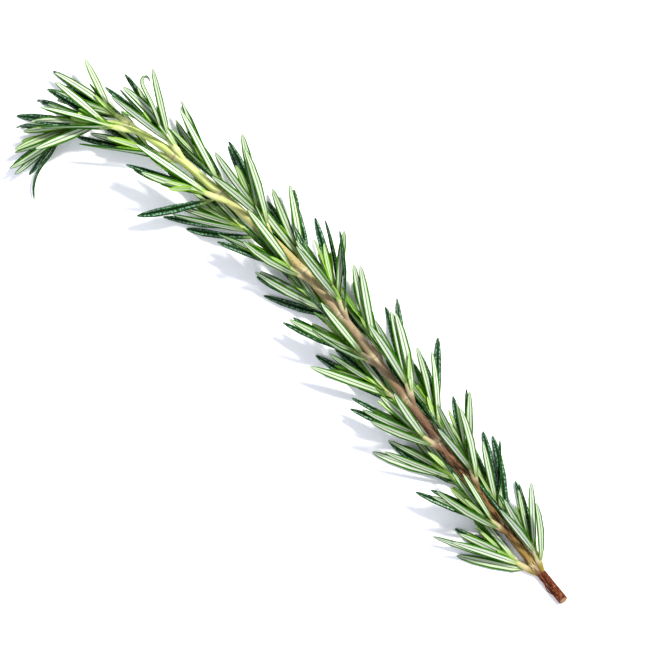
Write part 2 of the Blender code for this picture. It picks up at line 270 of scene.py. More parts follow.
def finish_of(name, paint, relief):
    """A material painted by paint(graph), which gives its colour, roughness, wax and height.

    relief is how many metres a height of 1 stands for.
    """
    made = bpy.data.materials.new(name)
    made.use_nodes = True
    shader = made.node_tree.nodes["Principled BSDF"]
    graph = Graph(made.node_tree)
    colour, roughness, wax, height = paint(graph)
    graph.plug(colour, shader.inputs["Base Color"])
    graph.plug(roughness, shader.inputs["Roughness"])
    graph.plug(wax, shader.inputs["Coat Weight"])
    shader.inputs["Coat Roughness"].default_value = WAX_ROUGHNESS
    shader.inputs["Specular IOR Level"].default_value = BARE_GLOSS
    bump = graph.node("ShaderNodeBump", {}, {"Height": height, "Distance": relief})
    graph.plug(bump["Normal"], shader.inputs["Normal"])
    return made


def mixed(graph, share, first, second, blend="MIX"):
    """The second colour laid over the first."""
    settings = {"data_type": "RGBA", "blend_type": blend}
    sockets = {MIX_SHARE: share, MIX_FIRST: first, MIX_SECOND: second}
    return graph.node("ShaderNodeMix", settings, sockets)[MIX_RESULT]


def stored(graph, name):
    """A number that the mesh carries."""
    return graph.node("ShaderNodeAttribute", {"attribute_name": name})["Fac"]


def colours(graph, value, stops):
    """A colour for each value from 0 to 1."""
    return graph.node("ShaderNodeValToRGB", {"stops": stops}, {"Fac": value})["Color"]


def noise(graph, scale, detail=2.0, stretch=(1, 1, 1), where=None):
    """Soft spots. scale is how many fit in a metre, unless where gives other coordinates."""
    where = where or graph.node("ShaderNodeTexCoord")["Object"]
    spread = graph.node("ShaderNodeMapping", {}, {"Vector": where, "Scale": stretch})["Vector"]
    sockets = {"Vector": spread, "Scale": scale, "Detail": detail}
    return graph.node("ShaderNodeTexNoise", {}, sockets)["Fac"]


print(f"a bare surface has gloss {BARE_GLOSS}, where a new shader has 0.5")

# %% [markdown]
# ## The leaf's finish
#
# One material serves both faces of a leaf, because they meet in a sharp line along the rolled edge. The
# mesh carries five numbers: `across` runs from -1 to 1 over the blade, `over` is positive on the upper
# face, `length_share` runs from the stalk to the point, and `age` and `tone` say how old the leaf is and
# how it differs from its neighbours. From them the shader lays down, on the underside, a thin rib, two
# bands of pale felt and the green roll of the edge, with painted shade on the roll's inner slope and at
# its very edge. On the upper face it lays a waxy dark green with painted shade in the sunken middle line
# and near the edge, and pebbles with a painted highlight on them. A ramp from the middle line to the edge
# suits both faces, because their bands follow the blade, however it bends.

# %% Colours from the middle of a leaf to its edge
# The share of the way from the middle line to the edge, and the colour there.
# Below, painted shade: the dark line from 0.67 to 0.75 on the inner slope of the rolled edge, and the darker
# green from its crest at 0.84 to the very edge. The rest is the rib, the felt and the roll's own green.
UNDERSIDE = [
    (0.00, (0.075, 0.150, 0.055)),
    (0.06, (0.140, 0.225, 0.100)),
    (0.11, (0.46, 0.52, 0.42)),
    (0.30, (0.59, 0.63, 0.55)),
    (0.61, (0.48, 0.55, 0.40)),
    (0.67, (0.010, 0.045, 0.004)),
    (0.75, (0.014, 0.065, 0.005)),
    (0.84, (0.130, 0.37, 0.020)),
    (0.93, (0.035, 0.15, 0.006)),
    (1.00, (0.010, 0.055, 0.003)),
]
# Above, painted shade: the near-black sunken middle line, and the dark lines near and at the edge, where the
# face turns down. Between them is the face's own dark green.
UPPER_FACE = [
    (0.00, (0.001, 0.008, 0.001)),
    (0.08, (0.001, 0.014, 0.002)),
    (0.18, (0.005, 0.065, 0.007)),
    (0.36, (0.010, 0.080, 0.014)),
    (0.48, (0.026, 0.105, 0.034)),
    (0.74, (0.026, 0.105, 0.034)),
    (0.84, (0.008, 0.045, 0.006)),
    (0.93, (0.020, 0.095, 0.006)),
    (1.00, (0.003, 0.018, 0.001)),
]
print(len(UNDERSIDE), "stops below,", len(UPPER_FACE), "above")

# %% Leaf finish
# The pale pebble colour is a painted highlight on the pebbles' tops. It is laid on a band across the upper
# face, which begins and ends at the shares of the way to the edge given next.
PEBBLE_HIGHLIGHT = (0.27, 0.41, 0.31)
PEBBLES_PER_METRE = 1500.0
PEBBLE_EDGE = (0.40, 0.64)
HIGHLIGHT_BEGINS = (0.26, 0.44)
HIGHLIGHT_ENDS = (0.76, 0.86)
YOUNG_UNDERSIDE = (0.42, 0.66, 0.09)
YOUNG_UPPER = (0.20, 0.44, 0.015)
STALK = (0.46, 0.57, 0.22)
STALK_FADES = (0.03, 0.24)
DEEPER_TONE = (0.66, 0.76, 0.50)
RAGGED_FELT = 0.05
FELT_HEIGHT = 0.30
FELT_ROUGHNESS = 0.86
WAXY_ROUGHNESS = 0.46
LEAF_WAX = 0.5


def leaf_pebbles(graph):
    """1 on a pebble and 0 between two, at the scale of the real ones."""
    sockets = {"Vector": graph.node("ShaderNodeTexCoord")["Object"], "Scale": PEBBLES_PER_METRE}
    cells = graph.node("ShaderNodeTexVoronoi", {"feature": "F1"}, sockets)
    return 1 - cells["Distance"].between(*PEBBLE_EDGE)


def paint_leaf(graph):
    across = abs(stored(graph, "across"))
    upper = stored(graph, "over").between(-0.04, 0.10)
    share = stored(graph, "length_share")
    young = 1 - stored(graph, "age")
    streaks = noise(graph, 900, 3.0)
    fine = noise(graph, 5200, 2.0)
    pebbles = leaf_pebbles(graph)
    # The band across the upper face where the pebbles get their painted highlight.
    pebbled = across.between(*HIGHLIGHT_BEGINS) * (1 - across.between(*HIGHLIGHT_ENDS))

    # The underside: rib, felt and green roll with painted shade on the roll, brighter towards the edge on a
    # young leaf.
    felt = colours(graph, across + RAGGED_FELT * (streaks - 0.5), UNDERSIDE)
    felt = mixed(graph, young * 0.8 * across.between(0.0, 1.0) + young * 0.25, felt, YOUNG_UNDERSIDE)
    # The upper face: a painted highlight on the pebbles on both sides of the middle line, missing in some
    # streaks.
    green = colours(graph, across, UPPER_FACE)
    shown = 0.9 * pebbled * pebbles * streaks.between(0.26, 0.42)
    green = mixed(graph, shown, green, PEBBLE_HIGHLIGHT)
    green = mixed(graph, young, green, YOUNG_UPPER)
    # Both: a pale stalk, and some leaves deeper than others.
    colour = mixed(graph, upper, felt, green)
    colour = mixed(graph, 0.9 * (1 - share.between(*STALK_FADES)), colour, STALK)
    colour = mixed(graph, 0.55 * stored(graph, "tone"), colour, DEEPER_TONE, "MULTIPLY")

    roughness = FELT_ROUGHNESS - (FELT_ROUGHNESS - WAXY_ROUGHNESS) * upper
    height = upper * pebbles + FELT_HEIGHT * (1 - upper) * fine
    return colour, roughness, LEAF_WAX * upper, height


leaf_finish = finish_of("rosemary_leaf", paint_leaf, 0.16 * MM)
print("the leaf finish has", len(leaf_finish.node_tree.nodes), "nodes")

# %% [markdown]
# ## The stem's finish
#
# The stem changes along its length. The cut end is woody, with reddish-brown bark that splits in thin
# lines. Further on it is tan with brown specks, then a pale yellow-green where it is still soft. `s` is
# the distance from the cut end in millimetres. Each joint has a paler swelling with a fine dark ring. The
# fibres are a noise that is stretched along the stem, read from `s` and from the place round the stem, so
# that they follow its bends.

# %% Colours along the stem
STEM_LENGTH = 230.0
# The share of that length, and the colour there.
STEM_COLOURS = [
    (0.000, (0.135, 0.042, 0.017)),
    (0.052, (0.125, 0.040, 0.016)),
    (0.062, (0.30, 0.24, 0.060)),
    (0.110, (0.24, 0.16, 0.065)),
    (0.300, (0.22, 0.140, 0.095)),
    (0.480, (0.35, 0.275, 0.190)),
    (0.620, (0.45, 0.39, 0.19)),
    (0.680, (0.53, 0.52, 0.24)),
    (0.760, (0.55, 0.62, 0.26)),
    (1.000, (0.46, 0.58, 0.18)),
]
SPECK = (0.10, 0.04, 0.02)
SWELLING = (0.66, 0.60, 0.42)


def share_of_stem(graph):
    """How far along the stem a point is, from 0 to 1."""
    return stored(graph, "s") * (1 / STEM_LENGTH)


print(len(STEM_COLOURS), "stops along the stem")

# %% Stem finish
BARK_FADES = (0.25, 0.40)
FIBRE_STRETCH = (0.34, 3.6, 3.6)
BARK_SPLIT = (0.045, 0.014, 0.010)
BARK_FIBRE = (0.34, 0.20, 0.13)
GREEN_STREAK = (0.42, 0.40, 0.10)
# Painted glints: small pale pink flecks on the bark near the cut end.
BARK_GLINT = (0.38, 0.18, 0.085)


def paint_stem(graph):
    share = share_of_stem(graph)
    bark = 1 - share.between(*BARK_FADES)
    coordinates = {0: stored(graph, "s"), 1: stored(graph, "round_x"), 2: stored(graph, "round_y")}
    around = graph.node("ShaderNodeCombineXYZ", {}, coordinates)[0]
    fibres = noise(graph, 1.0, 5.0, FIBRE_STRETCH, around)
    glints = noise(graph, 1500, 2.0).between(0.58, 0.70) * (1 - share.between(0.04, 0.10))
    specks = noise(graph, 2600, 1.0).between(0.64, 0.72)
    patches = noise(graph, 260, 2.0)

    colour = colours(graph, share + 0.06 * (patches - 0.5), STEM_COLOURS)
    colour = mixed(graph, 0.6 * stored(graph, "joint"), colour, SWELLING)
    colour = mixed(graph, bark * 0.85 * fibres.between(0.50, 0.58), colour, BARK_SPLIT)
    colour = mixed(graph, bark * 0.60 * (1 - fibres.between(0.36, 0.44)), colour, BARK_FIBRE)
    colour = mixed(graph, 0.35 * (1 - bark) * fibres.between(0.5, 0.7), colour, GREEN_STREAK)
    colour = mixed(graph, 0.8 * specks * (1 - share.between(0.60, 0.72)), colour, SPECK)
    # Painted glints on the rough bark near the cut end.
    colour = mixed(graph, 0.7 * glints, colour, BARK_GLINT)
    colour = mixed(graph, 0.40 * stored(graph, "ring"), colour, SPECK)
    return colour, 0.6 + 0.25 * bark, 0.0, fibres + 0.4 * patches


stem_finish = finish_of("rosemary_stem", paint_stem, 0.12 * MM)
print("the stem finish has", len(stem_finish.node_tree.nodes), "nodes")

# %% [markdown]
# ## The shoots' finish
#
# A side shoot is softer than the stem, a pale lime with faint spots. Where it leaves the stem there is no
# line between the two, because they grew together. So its skin carries the `s` of its joint, and near the
# root it takes the colour of the stem at that place. On the woody half some of that colour stays further
# out too.

# %% Shoot finish
LIME = (0.34, 0.46, 0.12)
PALE_LIME = (0.50, 0.59, 0.26)


def paint_shoot(graph):
    """Pale lime, out of the colour that the stem's joint has where the shoot begins."""
    soft = noise(graph, 700, 2.0)
    share = share_of_stem(graph)
    from_root = stored(graph, "from_root")
    joint = colours(graph, share, STEM_COLOURS)
    joint = mixed(graph, 0.5 * from_root.between(0.10, 0.24), joint, SWELLING)
    lime = mixed(graph, soft.between(0.35, 0.65), LIME, PALE_LIME)
    lime = mixed(graph, 0.60 * (1 - share.between(0.40, 0.75)), lime, joint)
    colour = mixed(graph, from_root.between(0.20, 0.60), joint, lime)
    return colour, 0.55 + 0.1 * soft, 0.0, soft


shoot_finish = finish_of("rosemary_shoot", paint_shoot, 0.05 * MM)
print("the shoot finish has", len(shoot_finish.node_tree.nodes), "nodes")

# %% [markdown]
# ## The cut face and the table
#
# The knife left a pale face: soft pith in the middle, tan wood round it in fine rings, and the dark edge
# of the bark. `out` runs from 0 in the middle to 1 at the edge, so a ramp on it paints all three. The
# table is white with a speckle that is only just there.

# %% Finishes of the cut face and the table
# The share of the way from the middle to the edge, and the colour there.
CUT_WOOD = [
    (0.00, (0.36, 0.31, 0.16)),
    (0.30, (0.40, 0.27, 0.16)),
    (0.80, (0.31, 0.18, 0.10)),
    (0.92, (0.09, 0.032, 0.016)),
]
WOOD_RING = (0.40, 0.24, 0.14)
TABLE_WHITE = (0.93, 0.93, 0.93)
TABLE_GREY = (0.8, 0.8, 0.8)


def paint_cut(graph):
    out = stored(graph, "out")
    outwards = graph.node("ShaderNodeCombineXYZ", {}, {0: out})[0]
    rings = noise(graph, 9.0, 3.0, where=outwards)
    grain = noise(graph, 5000, 3.0)
    colour = mixed(graph, 0.5 * rings.between(0.4, 0.6), colours(graph, out, CUT_WOOD), WOOD_RING)
    return colour, 0.8 + 0.1 * grain, 0.0, grain + rings


def paint_table(graph):
    speckle = noise(graph, 300, 3.0)
    white = mixed(graph, 0.02 * speckle, TABLE_WHITE, TABLE_GREY)
    return white, 0.8 + 0.05 * speckle, 0.0, speckle


cut_finish = finish_of("cut_wood", paint_cut, 0.06 * MM)
table.data.materials.append(finish_of("white_table", paint_table, 0.01 * MM))
print("finishes:", ", ".join(made.name for made in bpy.data.materials))

# %% [markdown]
# ## The line of the stem
#
# Everything on a sprig hangs from one line: the stem. Here it is a smooth curve through a few points in
# millimetres, read by the distance from the cut end, `s`. At any `s` the route gives a place and three
# directions: along the stem, to its left and up from it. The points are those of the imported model, so that
# every piece lands on its solid.

# %% The stem's route
STEM_ROUTE = [
    (0, 0, 1.35),
    (13.3, -3.2, 1.35),
    (25.5, -6.3, 2.7),
    (50.2, -12.9, 5.7),
    (80.3, -21.3, 8.0),
    (105.7, -28.0, 9.0),
    (126.1, -32.6, 9.5),
    (144.7, -35.0, 9.9),
    (162.1, -36.2, 10.4),
    (180.7, -37.2, 11.0),
    (196.7, -35.4, 11.2),
    (205.4, -30.3, 10.3),
    (211.5, -23.6, 8.4),
    (214.4, -15.0, 6.2),
]


class Route:
    """A smooth line through a few points, read by the distance along it, in millimetres."""

    def __init__(self, points, per_span=14):
        knots = [Vector(p) for p in points]
        knots = [2 * knots[0] - knots[1], *knots, 2 * knots[-1] - knots[-2]]
        self.points = []
        for a, b, c, d in zip(knots, knots[1:], knots[2:], knots[3:]):
            for i in range(per_span):
                t = i / per_span
                self.points.append(
                    0.5 * (2 * b + (c - a) * t + (2 * a - 5 * b + 4 * c - d) * t**2
                           + (3 * b - a - 3 * c + d) * t**3)
                )
        self.points.append(knots[-2])
        self.distance = [0.0]
        for a, b in zip(self.points, self.points[1:]):
            self.distance.append(self.distance[-1] + (b - a).length)

    def at(self, s):
        """Where the line is at s, with the directions along it, to its left and above it."""
        i = 0
        while i < len(self.points) - 2 and self.distance[i + 1] < s:
            i += 1
        a, b = self.points[i], self.points[i + 1]
        along = (b - a).normalized()
        place = a + along * (s - self.distance[i])
        left = UP.cross(along).normalized()
        return place, along, left, along.cross(left)


route = Route(STEM_ROUTE)
print(f"the stem's line is {route.distance[-1]:.0f} mm long")

# %% [markdown]
# ## The thickness of the stem
#
# The stem thins towards the tip, and it swells a little at each of its twelve joints. The thinning is a
# straight-line graph through a few radii. Each swelling is a bell curve over the distance from its joint,
# which rises and falls without a step.

# %% The stem's thickness
STEM_RADII = [(0, 1.5), (60, 1.45), (150, 1.38), (185, 1.25), (205, 0.9), (230, 0.55)]
STEM_END = 206.0
JOINTS = (14.0, 30.5, 47.0, 63.5, 80.0, 96.5, 113.5, 130.5, 148.5, 166.0, 184.5, 201.5)
JOINT_SWELL = 0.22
JOINT_SPREAD = 1.7


def between(pairs, s):
    """The value at s of a straight-line graph through (place, value) pairs."""
    for (s0, v0), (s1, v1) in zip(pairs, pairs[1:]):
        if s <= s1:
            return v0 + (v1 - v0) * max(0.0, s - s0) / (s1 - s0)
    return pairs[-1][1]


def stem_radius(s):
    swell = sum(math.exp(-(((s - joint) / JOINT_SPREAD) ** 2)) for joint in JOINTS)
    return between(STEM_RADII, s) + JOINT_SWELL * swell


print(f"the stem is {2 * stem_radius(0):.1f} mm thick at its cut end")

# %% [markdown]
# ## How one leaf grows
#
# A real leaf leaves the shoot at a slant, bends back or forward as it grows, and turns a little about its
# own length. `grow_line` steps along such a path, and never goes through the table. `Leaf` also works out
# which way the upper face looks at each step. On the plant it looks to the shoot's axis. On a cut sprig
# that lies down, most leaves have turned over, so their pale undersides look up, as in the photograph.
# Close to the table a leaf lies flat.

# %% A line that leans
def grow_line(start, along, out, lean_from, lean_to, length, steps, sweep, floor):
    """Points of a line that leaves start, leaning from along towards out, and never goes under floor."""
    side = along.cross(out).normalized()
    points = [start]
    for i in range(steps):
        t = (i + 0.5) / steps
        lean = math.radians(lean_from + (lean_to - lean_from) * t)
        way = along * math.cos(lean) + out * math.sin(lean) + side * (sweep * t)
        step = way.normalized() * (length / steps)
        if points[-1].z + step.z < floor:
            step.z = max(floor - points[-1].z, step.z)
            step = step.normalized() * (length / steps)
            step.z = max(floor - points[-1].z, step.z)
        points.append(points[-1] + step)
    return points


def clamped(value):
    return min(1.0, max(0.0, value))


leaning = grow_line(Vector(), Vector((1, 0, 0)), UP, 20, 60, 10.0, 5, 0.0, 0.0)
print(f"a 10 mm line that leans 20 to 60 degrees ends {leaning[-1].z:.1f} mm up")

# %% A leaf's path and its coarse blade
LEAF_STATIONS = (0.0, 0.2, 0.55, 0.85)
LEAF_OUTLINE = (0.40, 0.80, 1.0, 0.66)
LEAF_TOP = 0.42
LEAF_UNDER = 0.26
LEAF_EDGE = -0.10
LEAF_STEPS = 20
LIES_FLAT_BELOW = 4.0
LIES_FLAT_POWER = 0.6
# How far a leaf turns its chosen face up, how high it has to point for that, and how soon it turns.
TURNS_OVER = 0.6
TURNS_OVER_ABOVE = -0.6
TURNS_OVER_SLOPE = 1.6
TURNS_OVER_SPEED = 3
TWIST_AT_ROOT = 0.35


class Leaf:
    """One narrow blade: the points of its spine, and the way that its upper face looks at each.

    shown is 1 if the upper face is to look up in the end, and -1 if the underside is.
    """

    def __init__(self, start, along, out, lean, bend, length, half_width, sweep, twist, shown, floor):
        self.points = grow_line(start, along, out, lean, lean + bend, length, LEAF_STEPS, sweep, floor)
        self.half_width = half_width
        self.faces_to = []
        beside = 1 - out.z**2
        turned_over = beside if shown > 0 else clamped(TURNS_OVER_SLOPE * (out.z - TURNS_OVER_ABOVE))
        for i in range(len(self.points)):
            t = i / LEAF_STEPS
            way = self.way(i)
            tilt = math.radians(lean + bend * t)
            face = along * math.sin(tilt) - out * math.cos(tilt)
            face = face.lerp(UP * shown, TURNS_OVER * turned_over * min(1.0, TURNS_OVER_SPEED * t))
            twisted = math.radians(twist) * (TWIST_AT_ROOT + (1 - TWIST_AT_ROOT) * t)
            face = Matrix.Rotation(twisted, 3, way) @ face
            height = clamped((self.points[i].z - floor) / LIES_FLAT_BELOW)
            flat = UP if face.z > 0 else -UP
            face = flat.lerp(face, height**LIES_FLAT_POWER)
            face = face - way * face.dot(way)
            self.faces_to.append(face.normalized())

    def way(self, i):
        a = self.points[max(0, i - 1)]
        b = self.points[min(len(self.points) - 1, i + 1)]
        return (b - a).normalized()

    def skin(self, swell=0.0, from_station=0):
        """The blade's closed skin, made thicker and wider by swell."""
        rings = []
        for station, share in list(zip(LEAF_STATIONS, LEAF_OUTLINE))[from_station:]:
            i = round(station * LEAF_STEPS)
            face, place = self.faces_to[i], self.points[i]
            side = face.cross(self.way(i)).normalized()
            half = self.half_width * share + swell
            rings.append([
                place + side * half + face * LEAF_EDGE,
                place + face * (LEAF_TOP + swell),
                place - side * half + face * LEAF_EDGE,
                place - face * (LEAF_UNDER + swell),
            ])
        return skin(rings, self.points[-1] + self.way(LEAF_STEPS) * swell)


print("a leaf has", LEAF_STEPS + 1, "points along its spine")

# %% [markdown]
# ## Leaves that keep clear of each other
#
# If all the leaves were simply drawn at random, many would cut through each other. So each new leaf is
# first tried as a coarse closed blade. A search tree of every blade that has grown already says at once
# whether they touch. Boxes are compared first, because that is quicker still. The stem and the cores of
# the shoots are coarse skins too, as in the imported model.

# %% Coarse skins
STEM_SIDES = 8
RINGS_BETWEEN_JOINTS = 3
LAST_GAP = 0.5
CUT_SLANT = 0.55
CUT_REACHES = 1.5


def round_ring(place, left, up, radius, sides):
    turns = [(i + 0.5) * math.tau / sides for i in range(sides)]
    return [place + left * (radius * math.cos(t)) + up * (radius * math.sin(t)) for t in turns]


def skin(rings, tip=None):
    """Points and faces of the closed skin over rings of points, whose last end is flat or a point."""
    n = len(rings[0])
    points = [p for ring in rings for p in ring]
    faces = [tuple(reversed(range(n)))]
    for r in range(len(rings) - 1):
        for i in range(n):
            j = (i + 1) % n
            faces.append((r * n + i, r * n + j, (r + 1) * n + j, (r + 1) * n + i))
    last = (len(rings) - 1) * n
    if tip is None:
        faces.append(tuple(range(last, last + n)))
    else:
        points.append(tip)
        faces += [(last + i, last + (i + 1) % n, len(points) - 1) for i in range(n)]
    return points, faces


def stem_skin():
    """The bare stem. Where it lies on the surface it is pressed flat, and its cut end is slanted."""
    places = [0.0, CUT_REACHES]
    for joint, following in zip(JOINTS, (*JOINTS[1:], STEM_END + JOINT_SPREAD)):
        places += [joint - JOINT_SPREAD, joint, joint + JOINT_SPREAD]
        gap = (following - joint - 2 * JOINT_SPREAD) / (RINGS_BETWEEN_JOINTS + 1)
        places += [joint + JOINT_SPREAD + gap * (i + 1) for i in range(RINGS_BETWEEN_JOINTS)]
    places = [s for s in places if s < STEM_END - LAST_GAP] + [STEM_END]
    rings = []
    for s in places:
        place, along, left, up = route.at(s)
        ring = round_ring(place, left, up, stem_radius(s), STEM_SIDES)
        if s == 0.0:
            ring = [p + along * CUT_SLANT * (p - place).dot(up) for p in ring]
        rings.append([Vector((p.x, p.y, max(p.z, 0.0))) for p in ring])
    return skin(rings)


print("the stem's coarse skin has", len(stem_skin()[1]), "faces")

# %% The search for a clear way
CLEARANCE = 0.3


def box_of(points):
    """The lowest and the highest corner of the box round some points."""
    return [min(p[i] for p in points) for i in range(3)], [max(p[i] for p in points) for i in range(3)]


class Grown:
    """The skins of all that has grown so far, each with its box and its search tree."""

    def __init__(self):
        self.skins = []

    def add(self, shoot, points, faces, outer=None):
        """Remembers a skin of this shoot. outer is the tree of a leaf's outer part."""
        self.skins.append((shoot, *box_of(points), BVHTree.FromPolygons(points, faces), outer))

    def is_clear(self, shoot, leaf):
        """Whether a leaf stays clear of the other shoots, and its outer part of the leaves beside it."""
        swollen = leaf.skin(CLEARANCE, 1)
        outer = leaf.skin(0.0, 1)
        for points, faces, own in ((*swollen, False), (*outer, True)):
            low, high = box_of(points)
            tree = None
            for other, other_low, other_high, other_tree, other_outer in self.skins:
                if (other is shoot) != own or (own and other_outer is None):
                    continue
                if any(low[i] > other_high[i] or high[i] < other_low[i] for i in range(3)):
                    continue
                tree = tree or BVHTree.FromPolygons(points, faces)
                if tree.overlap(other_outer if own else other_tree):
                    return False
        return True


grown = Grown()
grown.add(None, *stem_skin())
print(len(grown.skins), "skin stands before the first leaf")

# %% [markdown]
# ## Adding one leaf
#
# A shoot's rule says where a leaf should point, and seeded random numbers move it a little, because no two
# leaves are alike. A blocked leaf turns aside, a little more each time, and is left out if nothing helps.
# The same seed gives the same leaves on every run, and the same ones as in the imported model.

# %% Ways to turn aside
# Degrees further round the shoot, degrees further out from it, and the share of the length.
TURNS = [
    (0, 0, 1.0),
    (12, 0, 1.0),
    (-12, 0, 1.0),
    (0, 9, 1.0),
    (0, -8, 1.0),
    (22, 4, 1.0),
    (-22, 4, 1.0),
    (0, 18, 0.95),
    (34, 8, 0.92),
    (-34, 8, 0.92),
    (48, 14, 0.85),
    (-48, 14, 0.85),
    (0, 30, 0.8),
    (62, 20, 0.8),
    (-62, 20, 0.8),
    (20, 38, 0.7),
    (-20, 38, 0.7),
]
print("up to", len(TURNS), "ways are tried for each leaf")

# %% One leaf on a shoot
SEED = 35
LEAF_HALF_WIDTH = 1.4
LENGTH_SPREAD = 0.12
WIDTH_SPREAD = 0.1
ROOT_SPREAD = 0.35
SWEEP = 0.2
TWIST = 30.0
LEAF_FLOOR = (0.46, 0.8)
SHOWS_UPPER_FACE = 0.22
draw = random.Random(SEED)
left_out = []


def add_leaf(shoot, start, directions, round_at, shape, face_up=SHOWS_UPPER_FACE):
    """Grows a leaf that points round_at degrees round the shoot, turned aside if it is blocked.

    directions are those along the shoot, to its left and above it. shape is the leaf's lean, bend,
    length and half-width.
    """
    along, left, up = directions
    lean, bend, length, half_width = shape
    sweep = draw.uniform(-SWEEP, SWEEP)
    twist = draw.uniform(-TWIST, TWIST) if face_up < 1.0 else 0.0
    shown = 1 if draw.random() < face_up else -1
    floor = draw.uniform(*LEAF_FLOOR)
    for more_round, more_lean, share in TURNS:
        turn = math.radians(round_at + more_round)
        out = left * math.cos(turn) + up * math.sin(turn)
        leaf = Leaf(start, along, out, lean + more_lean, bend, length * share, half_width,
                    sweep, twist, shown, floor)
        if grown.is_clear(shoot, leaf):
            shoot.leaves.append(leaf)
            grown.add(shoot, *leaf.skin(), outer=BVHTree.FromPolygons(*leaf.skin(0.0, 1)))
            return
    left_out.append(shoot.name)


def drawn_shape(lean, lean_spread, bends, length, width):
    """A leaf's lean, bend, length and half-width, each drawn near what is asked for."""
    return (
        lean + draw.uniform(-lean_spread, lean_spread),
        draw.uniform(*bends),
        length * (1 + draw.uniform(-LENGTH_SPREAD, LENGTH_SPREAD)),
        LEAF_HALF_WIDTH * width * (1 + draw.uniform(-WIDTH_SPREAD, WIDTH_SPREAD)),
    )


print(f"{SHOWS_UPPER_FACE:.0%} of the leaves show their upper face")

# %% [markdown]
# ## The tip
#
# The end of the stem is a shoot of its own. It carries pairs of leaves as the side shoots do, each pair a
# quarter turn round from the one before, only crowded and shorter and shorter towards the point. It grows
# first, so that it gets its leaves where the rule wants them.

# %% The tip's leaves
QUARTER_TURN = 90.0
OPPOSITE = (0, 180)
CORE_SIDES = 6
TUFT_START = 206.35
TUFT_END = 226.5
TUFT_STEPS = 7
TUFT_ROOT = 205.0
TUFT_TURN = 40.0
TUFT_TURN_SPREAD = 14
TUFT_LEAN_SPREAD = 5
TUFT_BENDS = (-20, 4)
FULL_WIDTH_LENGTH = 20
# Where on the stem, how long the leaves are, and their lean in degrees.
TUFT_PAIRS = [
    (210.5, 23.0, 30.0),
    (213.0, 20.0, 22.0),
    (215.5, 22.5, 27.0),
    (218.0, 18.5, 19.0),
    (220.3, 21.0, 23.0),
    (222.3, 17.5, 15.0),
    (224.0, 18.5, 15.0),
    (225.3, 15.0, 9.0),
]
shoots = []


class Shoot:
    """One shoot: where its root is on the stem, the line of its own slim stem, and its leaves."""

    def __init__(self, name, s, line, core):
        self.name, self.s, self.line, self.leaves = name, s, line, []
        shoots.append(self)
        grown.add(self, *core)


def grow_tuft():
    """The tip: the last of the stem and its crowded pairs of leaves."""
    places = [TUFT_START + (TUFT_END - TUFT_START) * i / TUFT_STEPS for i in range(TUFT_STEPS)]
    rings = []
    for s in places:
        place, _, left, up = route.at(s)
        rings.append(round_ring(place, left, up, between(STEM_RADII, s), CORE_SIDES))
    line = [route.at(s)[0] for s in (TUFT_ROOT, *places, TUFT_END)]
    tuft = Shoot("tip_tuft", TUFT_START, line, skin(rings, line[-1]))
    for j, (s, leaf_length, lean) in enumerate(TUFT_PAIRS):
        place, *directions = route.at(s)
        width = min(1.0, leaf_length / FULL_WIDTH_LENGTH)
        for opposite in OPPOSITE:
            start = place + directions[0] * draw.uniform(-ROOT_SPREAD, ROOT_SPREAD)
            aside = draw.uniform(-TUFT_TURN_SPREAD, TUFT_TURN_SPREAD)
            turn = TUFT_TURN + QUARTER_TURN * j + opposite + aside
            shape = drawn_shape(lean, TUFT_LEAN_SPREAD, TUFT_BENDS, leaf_length, width)
            add_leaf(tuft, start, directions, turn, shape)


grow_tuft()
print("the tip has", len(shoots[0].leaves), "leaves")

# %% [markdown]
# ## The side shoots
#
# Each side shoot grew in the corner of a leaf. It has that leaf, and then its own pairs, shorter and
# shorter towards its end. Its core is a slim cone on a foot, a little clear of the stem as in the packed
# model. The line of the finished shoot begins further down and inside the stem, so that no gap shows.
# Towards the tip the leaves stand closer to the shoots, because they are younger. One leaf, broad and dark
# with its upper face up, has values of its own.

# %% One side shoot
CORE_RADIUS = 0.85
CORE_TIP_RADIUS = 0.5
CORE_LENGTHS = (9.0, 12.0)
CORE_LEAN_FROM = 24.0
CORE_LEAN_TO = 14.0
CORE_STEPS = 6
FOOT_LENGTH = 1.5
FOOT_WIDTH = 1.0
FOOT_GAP = 0.35
ROOT_LENGTH = 3.2
ROOT_DEPTH = 0.3
ROOT_STEPS = 3


def side_shoot_skin(line, along, side):
    """A long foot that lies on the stem, then rings that get smaller, and a point."""
    turns = [(i + 0.5) * math.tau / CORE_SIDES for i in range(CORE_SIDES)]
    rings = [[
        line[0] + along * (FOOT_LENGTH * math.sin(t)) + side * (FOOT_WIDTH * math.cos(t)) for t in turns
    ]]
    for i in range(1, CORE_STEPS):
        way = (line[i + 1] - line[i - 1]).normalized()
        radius = CORE_RADIUS + (CORE_TIP_RADIUS - CORE_RADIUS) * i / CORE_STEPS
        rings.append(round_ring(line[i], side, way.cross(side), radius, CORE_SIDES))
    return skin(rings, line[CORE_STEPS])


def start_side_shoot(k, name, round_at):
    """A side shoot without leaves at joint k, its core's line, and the directions at its foot."""
    place, along, left, up = route.at(JOINTS[k])
    turn = math.radians(round_at)
    out = left * math.cos(turn) + up * math.sin(turn)
    side = along.cross(out)
    foot = place + out * (stem_radius(JOINTS[k]) + FOOT_GAP)
    length = draw.uniform(*CORE_LENGTHS)
    line = grow_line(foot, along, out, CORE_LEAN_FROM, CORE_LEAN_TO, length, CORE_STEPS, 0.0, CORE_RADIUS)
    root = place - along * ROOT_LENGTH + out * (ROOT_DEPTH * stem_radius(JOINTS[k]))
    smooth = Route([root, foot, *line[1:]], ROOT_STEPS).points
    return Shoot(name, JOINTS[k], smooth, side_shoot_skin(line, along, side)), line, (along, out, side)


print("a side shoot's core has", CORE_STEPS, "rings and a point")

